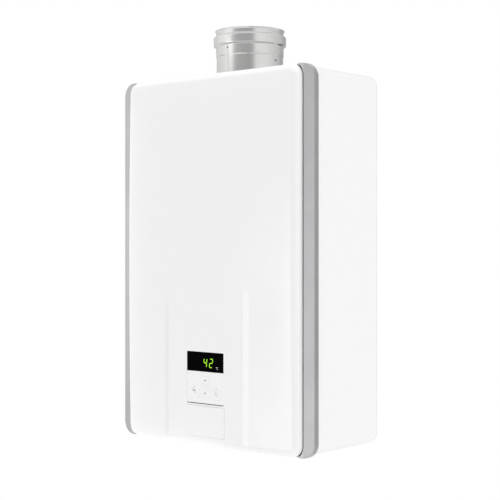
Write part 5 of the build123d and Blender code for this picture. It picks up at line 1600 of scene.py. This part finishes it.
@dataclass
class Flue:
    """The steel flue collar on the casing's top and the exhaust pipe inside it."""

    front_turn: float = -90.0
    seam_w: float = 3.2 * MM
    seam_h: float = 0.35 * MM
    seam_sink: float = 0.05 * MM
    seam_from: float = 1.6 * MM
    dimple_r: float = 2.3 * MM
    dimple_h: float = 0.6 * MM
    dimple_sink: float = 0.1 * MM
    wall: float = 0.8 * MM
    flange_r: float = 80.0 * MM
    flange_t: float = 1.5 * MM
    step_l: float = 2.0 * MM
    bead_r: float = 68.9 * MM
    bead_h: float = 20.5 * MM
    flare: float = 2.0 * MM
    flare_h: float = 3.0 * MM
    fold_r: float = 0.8 * MM
    bead_foot_r: float = 1.6 * MM
    bead_edge_r: float = 2.0 * MM
    low_r: float = 63.2 * MM
    pipe_r: float = 64.2 * MM
    step_drop: float = 49.8 * MM
    bead_drop: float = 30.8 * MM
    bead_mid_drop: float = 20.55 * MM
    side_spot_drop: float = 59.8 * MM
    front_spot_drop: float = 6.0 * MM
    joints: int = 8
    joint_r: float = 68.8 * MM
    joint_size: Point = (0.5 * MM, 0.6 * MM, 15.0 * MM)
    joint_turn: float = -67.5

    def __post_init__(self) -> None:
        """Takes the collar's place from the CAD node."""
        low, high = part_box("flue_collar")
        self.x = (low.x + high.x) / 2
        self.y = (low.y + high.y) / 2
        self.top = high.z
        self.foot = low.z

    def radius(self, z: float) -> float:
        """Gives the collar's outside radius at a height below the bead."""
        return self.low_r if z < self.top - self.step_drop else self.pipe_r

    def _collar(self) -> bpy.types.Mesh:
        """Turns the collar with its flange, step, bead and flared rim.

        Returns:
            The mesh.
        """
        step, bead = self.top - self.step_drop, self.top - self.bead_drop
        slope = (self.bead_r - self.pipe_r) / 2
        pipe = [(self.low_r, step - self.step_l / 2), (self.pipe_r, step + self.step_l / 2),
                (self.pipe_r, bead), (self.bead_r, bead + slope), (self.bead_r, bead + self.bead_h - slope),
                (self.pipe_r, bead + self.bead_h), (self.pipe_r, self.top - self.flare_h)]
        folds = [self.fold_r, self.fold_r, self.bead_foot_r, self.bead_edge_r, self.bead_edge_r,
                 self.bead_foot_r, self.fold_r]
        flange_top = self.foot + self.flange_t
        rim = (self.pipe_r + self.flare, self.top)
        outer = [(self.flange_r, self.foot), (self.flange_r, flange_top), (self.low_r, flange_top), *pipe,
                 rim]
        inner = [(rim[0] - self.wall, rim[1]), *((r - self.wall, z) for r, z in reversed(pipe)),
                 (self.low_r - self.wall, self.foot)]
        profile = folded_profile(outer + inner, [0, 0, self.fold_r, *folds, 0, 0, *reversed(folds), 0])
        return turned_mesh("flue_collar.turned", profile, self.x, self.y)

    def _seam(self, turn: float, z0: float, z1: float) -> bpy.types.Mesh:
        """Makes the raised weld line that runs up the collar.

        Args:
            turn: Direction that it faces, in degrees from +X.
            z0: Lower end.
            z1: Upper end.

        Returns:
            The mesh.
        """
        across, up = 8, 40
        points, faces = [], []
        for j in range(up + 1):
            z = z0 + (z1 - z0) * j / up
            for i in range(across + 1):
                s = 2 * i / across - 1
                lift = self.seam_h * (1 - s * s) - self.seam_sink
                r = self.radius(z) + lift
                a = math.radians(turn) + s * self.seam_w / 2 / r
                points.append((self.x + r * math.cos(a), self.y + r * math.sin(a), z))
        for j in range(up):
            for i in range(across):
                k = j * (across + 1) + i
                faces.append((k, k + 1, k + across + 2, k + across + 1))
        return plain_mesh("flue_collar.seam", points, faces)

    def _dimple(self, name: str, turn: float, z: float) -> bpy.types.Mesh:
        """Makes one round spot that stands out of the collar.

        Args:
            name: The mesh's name.
            turn: Direction that it faces, in degrees from +X.
            z: Height of its middle.

        Returns:
            The mesh.
        """
        out = Matrix.Rotation(math.radians(turn), 3, "Z")
        rings, around = 6, 24
        points = [out @ Vector((self.radius(z) + self.dimple_h, 0, 0))]
        for k in range(1, rings + 1):
            share = k / rings
            lift = self.dimple_h * math.cos(share * math.pi / 2) - self.dimple_sink * share
            for n in range(around):
                a = 2 * math.pi * n / around
                r = self.dimple_r * share
                points.append(out @ Vector((self.radius(z) + lift, r * math.cos(a), r * math.sin(a))))
        faces = [(0, 1 + n, 1 + (n + 1) % around) for n in range(around)]
        for k in range(rings - 1):
            for n in range(around):
                a, b = 1 + k * around + n, 1 + k * around + (n + 1) % around
                faces.append((a, a + around, b + around, b))
        placed = [(p.x + self.x, p.y + self.y, p.z + z) for p in points]
        return plain_mesh(name, placed, faces)

    def build(self, bench: Bench) -> None:
        """Builds and seats the flue's pieces.

        Args:
            bench: The bench that finishes pieces.
        """
        slot = bench.slots.get("flue_collar")
        bench.seat(self._collar(), "flue_collar.turned", "chassis", [FLUE_STEEL], slot, ["flue_collar"])
        bench.dress("flue_gasket", FOAM_BLACK)
        bench.dress("flue_seal", RUBBER)
        bench.dress("exhaust_pipe", FLUE_STEEL)
        bead = self.top - self.bead_drop
        seam = self._seam(self.front_turn, self.foot + self.seam_from, bead)
        bench.seat(seam, "flue_collar.seam", "chassis", [FLUE_STEEL], slot)
        # The spots carry the darker steel: painted shade
        for name, turn, z in (("flue_collar.front_spot", self.front_turn, bead - self.front_spot_drop),
                              ("flue_collar.side_spot", 0.0, self.top - self.side_spot_drop)):
            bench.seat(self._dimple(name, turn, z), name, "chassis", [SPOT_SHADE_STEEL], slot)
        joints = bench.recipes.ring.mesh(
            "flue_collar.joints", Count=self.joints, Radius=self.joint_r, Size=self.joint_size,
            Place=(self.x, self.y, self.top - self.bead_mid_drop),
            Turn=(0.0, 0.0, math.radians(self.joint_turn)), Finish=bench.material(FLUE_STEEL))
        bench.seat(joints, "flue_collar.joints", "chassis", [FLUE_STEEL], slot)


@dataclass
class CombustionStack:
    """The hood, heat exchanger, burner and gas manifold behind the cover."""

    edge: float = 0.4 * MM
    ribs: int = 3
    rib_r: float = 3.0 * MM
    rib_sunk: float = 0.55
    rib_inset: float = 26.0 * MM
    rib_from: float = 24.0 * MM
    rib_pitch: float = 20.0 * MM
    screws: int = 7
    screw_r: float = 2.6 * MM
    screw_h: float = 2.4 * MM
    screw_inset: float = 12.0 * MM
    screw_drop: float = 6.0 * MM

    def _flange(self, bench: Bench, node: str, finish: Finish) -> None:
        """Puts a row of screws along the front of a node's upper joint.

        Args:
            bench: The bench that finishes pieces.
            node: The node that carries the row.
            finish: The screws' finish.
        """
        low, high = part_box(node)
        step = (high.x - low.x - 2 * self.screw_inset) / (self.screws - 1)
        mesh = bench.recipes.row.mesh(
            f"{node}.screws", Count=self.screws,
            Start=(low.x + self.screw_inset, low.y, high.z - self.screw_drop), Step=(step, 0.0, 0.0),
            Radius=self.screw_r, Height=self.screw_h, Turn=(math.pi / 2, 0.0, 0.0),
            Finish=bench.material(finish))
        bench.seat(mesh, f"{node}.screws", "chassis", [finish])

    def _pressed(self, bench: Bench, node: str, finish: Finish) -> None:
        """Presses level ribs into the front of a sheet node.

        Args:
            bench: The bench that finishes pieces.
            node: The node that carries the ribs.
            finish: The ribs' finish.
        """
        low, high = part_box(node)
        mesh = bench.recipes.ribs.mesh(
            f"{node}.ribs", Count=self.ribs,
            Start=(low.x + self.rib_inset, low.y + self.rib_r * self.rib_sunk, low.z + self.rib_from),
            Step=(0.0, 0.0, self.rib_pitch), Run=(high.x - low.x - 2 * self.rib_inset, 0.0, 0.0),
            Radius=self.rib_r, Finish=bench.material(finish))
        mesh.shade_smooth()
        mesh.set_sharp_from_angle(angle=math.radians(PRESSED_TURN))
        bench.seat(mesh, f"{node}.ribs", "chassis", [finish], bench.slots.get(node))

    def build(self, bench: Bench) -> None:
        """Builds and seats the stack's pieces.

        Args:
            bench: The bench that finishes pieces.
        """
        bench.dress("exhaust_hood", ALUMINISED)
        bench.dress("heat_exchanger_shell", COPPER)
        bench.paint(COPPER, "heat_exchanger_fins")
        bench.dress("heat_exchanger_tube", COPPER)
        bench.dress("burner_box", ALUMINISED)
        bench.dress("burner_blades", BURNER_STEEL, bevel=self.edge)
        bench.dress("gas_manifold", CAST_ALLOY, bevel=self.edge)
        bench.dress("gas_nozzles", BRASS, bevel=self.edge / 2)
        bench.dress("spark_electrodes", CERAMIC, bevel=self.edge)
        bench.dress("stack_stays", ZINC, bevel=self.edge)
        self._pressed(bench, "heat_exchanger_shell", COPPER)
        self._flange(bench, "heat_exchanger_shell", SCREW_STEEL)
        self._flange(bench, "burner_box", SCREW_STEEL)


@dataclass
class Fan:
    """The blower under the burner."""

    edge: float = 0.6 * MM
    ribs: int = 14
    rib_depth: float = 22.0 * MM
    rib_ring: float = 31.0 * MM
    rib_size: Point = (2.4 * MM, 3.0 * MM, 22.0 * MM)

    def build(self, bench: Bench) -> None:
        """Builds and seats the fan's pieces.

        Args:
            bench: The bench that finishes pieces.
        """
        bench.dress("fan_housing", FAN_GREY, bevel=self.edge)
        bench.dress("fan_impeller", ALUMINISED)
        bench.dress("fan_shaft", SCREW_STEEL, bevel=self.edge / 3)
        bench.dress("fan_motor", MOTOR_BLACK, bevel=self.edge)
        low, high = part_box("fan_motor")
        middle = ((low.x + high.x) / 2, low.y + self.rib_depth, (low.z + high.z) / 2)
        ribs = bench.recipes.ring.mesh(
            "fan_motor.ribs", Count=self.ribs, Radius=self.rib_ring, Size=self.rib_size, Place=middle,
            Turn=(math.pi / 2, 0.0, 0.0), Finish=bench.material(MOTOR_BLACK))
        bench.seat(ribs, "fan_motor.ribs", "chassis", [MOTOR_BLACK], bench.slots.get("fan_motor"))


@dataclass
class Pipework:
    """The gas train, the water valves, the pipes and the threaded connections."""

    edge: float = 0.5 * MM
    thread_pitch: float = 1.8 * MM
    thread_wire: float = 0.62 * MM
    stub_r: float = 13.2 * MM
    stub_depth: float = 108.0 * MM
    thread_l: float = 5.4 * MM
    thread_end: float = 0.9 * MM
    thread_sink: float = 0.25 * MM

    def _thread(self, bench: Bench, node: str) -> None:
        """Winds the thread round a connection's stub.

        Args:
            bench: The bench that finishes pieces.
            node: The connection's node.
        """
        low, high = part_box(node)
        place = ((low.x + high.x) / 2, -self.stub_depth, low.z + self.thread_end)
        mesh = bench.recipes.thread.mesh(
            f"{node}.thread", Turns=self.thread_l / self.thread_pitch,
            Radius=self.stub_r - self.thread_sink, Length=self.thread_l, Wire=self.thread_wire, Place=place,
            Finish=bench.material(BRASS))
        mesh.shade_smooth()
        bench.seat(mesh, f"{node}.thread", "chassis", [BRASS], bench.slots.get(node))

    def build(self, bench: Bench) -> None:
        """Builds and seats the gas and water pieces.

        Args:
            bench: The bench that finishes pieces.
        """
        for node in ("gas_inlet", "cold_inlet", "hot_outlet"):
            bench.dress(node, BRASS, bevel=self.edge)
            self._thread(bench, node)
        bench.dress("gas_valve_body", CAST_ALLOY, bevel=2 * self.edge)
        bench.dress("gas_solenoids", COIL_BLACK)
        bench.dress("modulating_plunger", SCREW_STEEL)
        bench.dress("shutoff_plunger", SCREW_STEEL)
        bench.dress("gas_pipe", COPPER)
        bench.dress("drain_plugs", VALVE_PLASTIC)
        bench.dress("flow_valve_body", VALVE_PLASTIC, bevel=self.edge)
        bench.dress("flow_turbine", SOCKET_WHITE)
        bench.dress("flow_servo", SERVO_BLUE, bevel=2 * self.edge)
        bench.dress("flow_spindle", SCREW_STEEL)
        bench.dress("cold_pipe", COPPER)
        bench.dress("hot_pipe", COPPER)


@dataclass
class Electrics:
    """The control board in its case, the igniter and the leads."""

    edge: float = 0.4 * MM
    chip_out: float = 0.4 * MM
    chip_margin: float = 6.0 * MM
    chip_columns: int = 15
    chip_rows: int = 38
    chip_share: float = 0.42
    seed: int = 7

    def _chips(self, bench: Bench) -> None:
        """Scatters small parts over the control board.

        Args:
            bench: The bench that finishes pieces.
        """
        low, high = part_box("control_board")
        place = ((low.x + high.x) / 2, low.y - self.chip_out, (low.z + high.z) / 2)
        chips = bench.recipes.scatter.mesh(
            "control_board.chips", Width=high.x - low.x - self.chip_margin,
            Height=high.z - low.z - self.chip_margin, Columns=self.chip_columns, Rows=self.chip_rows,
            Keep=self.chip_share, Seed=self.seed, Place=place, Finish=bench.material(RELAY_BLACK))
        slot = bench.slots.get("board_components")
        bench.seat(chips, "control_board.chips", "chassis", [RELAY_BLACK], slot)

    def build(self, bench: Bench) -> None:
        """Builds and seats the electrical pieces.

        Args:
            bench: The bench that finishes pieces.
        """
        bench.dress("board_case", CASE_GREY, bevel=self.edge)
        bench.dress("control_board", BOARD_GREEN, bevel=self.edge / 3)
        bench.dress("board_components", SOCKET_WHITE, RELAY_BLACK, CAP_SLEEVE, TRAFO_TAPE, SINK_ALLOY,
                    RELAY_BLACK, bevel=self.edge / 2, rows=True)
        bench.dress("igniter", IGNITER_GREY, bevel=2 * self.edge)
        bench.dress("wiring_harness", *LEADS)
        self._chips(bench)


@dataclass(frozen=True)
class Lamp:
    """One soft lamp of the studio.

    Attributes:
        name: Its name.
        place: Where it hangs.
        size: Its width and height.
        power: Its power in watts.
        only: The pieces that it lights, or none for all of them.
        aim: The point that it faces.
        mirrored: Whether it shows in polished surfaces.
    """

    name: str
    place: Point
    size: Flat
    power: float
    only: tuple[str, ...] = ()
    aim: Point = (0.0, -0.12, 0.0)
    mirrored: bool = False

    def hang(self) -> None:
        """Hangs the lamp in the scene."""
        data = bpy.data.lights.new(self.name, "AREA")
        data.shape = "RECTANGLE"
        data.size, data.size_y = self.size
        data.energy = self.power
        lamp = bpy.data.objects.new(self.name, data)
        lamp.location = self.place
        lamp.rotation_mode = "QUATERNION"
        lamp.rotation_quaternion = (Vector(self.aim) - Vector(self.place)).to_track_quat("-Z", "Y")
        lamp.visible_glossy = self.mirrored
        if self.only:
            lit = bpy.data.collections.new(f"{self.name}_lit")
            for piece in self.only:
                lit.objects.link(bpy.data.objects[piece])
            lamp.light_linking.receiver_collection = lit
        bpy.context.scene.collection.objects.link(lamp)


FRONT_PIECES = ("front_cover.sheet", "service_plate.dressed", "key_fascia.dressed", "up_button.dressed",
                "down_button.dressed", "priority_button.dressed", "power_button.dressed")
LAMPS = (
    Lamp("key_lamp", (6.0, -0.85, 0.6), (2.4, 2.4), 50.0),
    Lamp("fill_lamp", (-4.0, 0.6, 0.0), (2.0, 2.0), 18.0),
    Lamp("left_lamp", (-4.0, 0.5, 0.0), (2.0, 2.0), 36.0, FRONT_PIECES),
    Lamp("top_lamp", (0.0, -0.1, 4.0), (2.0, 2.0), 36.0, FRONT_PIECES),
    Lamp("foot_lamp", (0.0, -0.4, -1.25), (0.8, 0.8), 1.2, FRONT_PIECES),
    Lamp("trim_lamp", (-3.6, -1.75, -0.15), (1.1, 1.4), 2.9, ("left_trim.dressed",), mirrored=True),
    Lamp("left_strip", (-0.228, -0.262, -0.04), (0.01, 0.7), 0.02, FRONT_PIECES, (-0.15, -0.24, -0.04)),
    Lamp("top_strip", (0.0, -0.262, 0.352), (0.4, 0.01), 0.003, FRONT_PIECES, (0.0, -0.24, 0.3)),
    Lamp("low_strip", (-0.08, -0.262, -0.352), (0.24, 0.01), 0.004, FRONT_PIECES, (-0.08, -0.24, -0.3)))

# The room's brightness by direction in degrees, behind the heater's left and on its right
ROOM_LEFT: tuple[Flat, ...] = ((-180, 0.5), (-120, 0.75), (-95, 0.92))
ROOM_RIGHT: tuple[Flat, ...] = (
    (40, 0.46), (50, 0.5), (58, 0.95), (65, 1.05), (100, 1.02), (117, 0.93), (134, 0.82), (156, 0.71),
    (170, 0.55), (180, 0.5))


@dataclass
class Studio:
    """Floor, backdrop, lamps, world and camera."""

    camera_place: Point = (1.4855, -1.850, 0.0284)
    camera_heading: Point = (-0.6507, 0.7593, 0.0)
    lens: float = 86.4
    shift_y: float = -0.0116
    floor_z: float = -1.6
    floor_half: float = 4.0
    floor_lift: float = 0.15
    surround: tuple[Flat, ...] = (
        *ROOM_LEFT, (-68, 1.03), (-50, 1.12), (-24, 1.12), (-16, 0.66), (-5, 0.53), *ROOM_RIGHT)
    low_surround: tuple[Flat, ...] = (
        *ROOM_LEFT, (-71, 1.02), (-68, 0.35), (-60, 0.35), (-57, 1.08), (-50, 1.12), (-41, 1.12), (-33, 2.4),
        (-21, 2.4), (-17, 0.8), (-5, 0.58), *ROOM_RIGHT)
    low_from: Flat = (-0.05, 0.11)
    surround_level: float = 0.93
    ceiling: float = 1.1
    ceiling_from: Flat = (0.4, 0.6)
    sensor_w: float = 36.0
    far_end: float = 60.0
    floor_white: float = 0.92
    floor_rough: float = 0.9

    def camera(self) -> None:
        """Makes the camera at the photograph's viewing place."""
        data = bpy.data.cameras.new("camera")
        data.lens = self.lens
        data.sensor_width = self.sensor_w
        data.shift_y = self.shift_y
        data.clip_end = self.far_end
        eye = bpy.data.objects.new("camera", data)
        eye.location = self.camera_place
        eye.rotation_mode = "QUATERNION"
        eye.rotation_quaternion = Vector(self.camera_heading).to_track_quat("-Z", "Y")
        bpy.context.scene.collection.objects.link(eye)
        bpy.context.scene.camera = eye

    @staticmethod
    def _seen_directly(tree: Any, *kinds: str) -> Any:
        """Marks what the camera sees, itself or by the given kinds of ray.

        Args:
            tree: The node tree to add to.
            kinds: The other kinds of ray that count.

        Returns:
            A socket that is 1 there and 0 elsewhere.
        """
        path = tree.nodes.new("ShaderNodeLightPath")
        socket = path.outputs["Is Camera Ray"]
        for other in kinds:
            either = tree.nodes.new("ShaderNodeMath")
            either.operation = "MAXIMUM"
            tree.links.new(socket, either.inputs[0])
            tree.links.new(path.outputs[other], either.inputs[1])
            socket = either.outputs["Value"]
        return socket

    @staticmethod
    def _ranged(tree: Any, value: Any, start: Flat, end: tuple[Any, Any], smooth: bool = False) -> Any:
        """Maps a value from one range to another.

        Args:
            tree: The node tree to add to.
            value: The value's socket.
            start: The range that it comes from.
            end: The range that it goes to, as numbers or sockets.
            smooth: Whether the ends are eased.

        Returns:
            The mapped value's socket.
        """
        node = tree.nodes.new("ShaderNodeMapRange")
        node.interpolation_type = "SMOOTHSTEP" if smooth else "LINEAR"
        node.inputs["From Min"].default_value, node.inputs["From Max"].default_value = start
        for label, wanted in zip(("To Min", "To Max"), end):
            if isinstance(wanted, (int, float)):
                node.inputs[label].default_value = wanted
            else:
                tree.links.new(wanted, node.inputs[label])
        tree.links.new(value, node.inputs["Value"])
        return node.outputs["Result"]

    def world(self) -> None:
        """Makes a white room with a darker front, which the camera itself sees as plain white."""
        world = bpy.data.worlds.new("studio")
        bpy.context.scene.world = world
        world.use_nodes = True
        tree = world.node_tree
        tree.nodes.clear()
        split = tree.nodes.new("ShaderNodeSeparateXYZ")
        tree.links.new(tree.nodes.new("ShaderNodeTexCoord").outputs["Generated"], split.inputs["Vector"])
        toward = self._ranged(tree, split.outputs["Y"], (-1.0, 1.0), (1.0, -1.0))
        turn = tree.nodes.new("ShaderNodeMath")
        turn.operation = "ARCTAN2"
        tree.links.new(split.outputs["X"], turn.inputs[0])
        tree.links.new(toward, turn.inputs[1])
        share = self._ranged(tree, turn.outputs["Value"], (-math.pi, math.pi), (0.0, 1.0))
        rings = []
        for levels in (self.low_surround, self.surround):
            ring = tree.nodes.new("ShaderNodeValToRGB")
            stops = ring.color_ramp.elements
            while len(stops) < len(levels):
                stops.new(0.5)
            for stop, (degrees, level) in zip(stops, levels):
                stop.position = (degrees + 180) / 360
                stop.color = (level, level, level, 1.0)
            tree.links.new(share, ring.inputs["Fac"])
            rings.append(ring.outputs["Color"])
        ring = self._ranged(tree, split.outputs["Z"], self.low_from, tuple(rings), True)
        room = self._ranged(tree, split.outputs["Z"], self.ceiling_from, (ring, self.ceiling), True)
        level = self._ranged(tree, room, (0.0, 1.0), (0.0, self.surround_level))
        level.node.clamp = False
        seen = self._seen_directly(tree, "Is Transmission Ray")
        back = tree.nodes.new("ShaderNodeBackground")
        back.inputs["Color"].default_value = (1.0, 1.0, 1.0, 1.0)
        out = tree.nodes.new("ShaderNodeOutputWorld")
        tree.links.new(self._ranged(tree, seen, (0.0, 1.0), (level, 1.0)), back.inputs["Strength"])
        tree.links.new(back.outputs["Background"], out.inputs["Surface"])

    def floor(self) -> None:
        """Lays a white floor far under the wall-hung heater."""
        half = self.floor_half
        corners = [(-half, -half, self.floor_z), (half, -half, self.floor_z), (half, half, self.floor_z),
                   (-half, half, self.floor_z)]
        mesh = plain_mesh("floor", corners, [(0, 1, 2, 3)])
        material = bpy.data.materials.new("floor_white")
        material.use_nodes = True
        tree = material.node_tree
        shader = tree.nodes["Principled BSDF"]
        shader.inputs["Base Color"].default_value = (*[self.floor_white] * 3, 1.0)
        shader.inputs["Roughness"].default_value = self.floor_rough
        seen = self._seen_directly(tree, "Is Transmission Ray")
        lit = tree.nodes.new("ShaderNodeMath")
        lit.operation = "MULTIPLY"
        lit.inputs[1].default_value = self.floor_lift
        tree.links.new(seen, lit.inputs[0])
        shader.inputs["Emission Color"].default_value = (1.0, 1.0, 1.0, 1.0)
        tree.links.new(lit.outputs["Value"], shader.inputs["Emission Strength"])
        mesh.materials.append(material)
        floor = bpy.data.objects.new("floor", mesh)
        bpy.context.scene.collection.objects.link(floor)

    def build(self) -> None:
        """Sets up the whole studio."""
        self.camera()
        self.world()
        self.floor()
        for lamp in LAMPS:
            lamp.hang()
        bpy.context.scene.view_settings.view_transform = "Standard"


def main() -> None:
    """Builds every sub-assembly in order."""
    logging.basicConfig(level=logging.INFO, format="%(message)s")
    bench = Bench(frame)
    for assembly in (Casing(), FrontCover(), ControlPanel(), Flue(), CombustionStack(), Fan(), Pipework(),
                     Electrics()):
        LOG.info("building %s", type(assembly).__name__)
        assembly.build(bench)
    Studio().build()


if __name__ == "__main__":
    main()
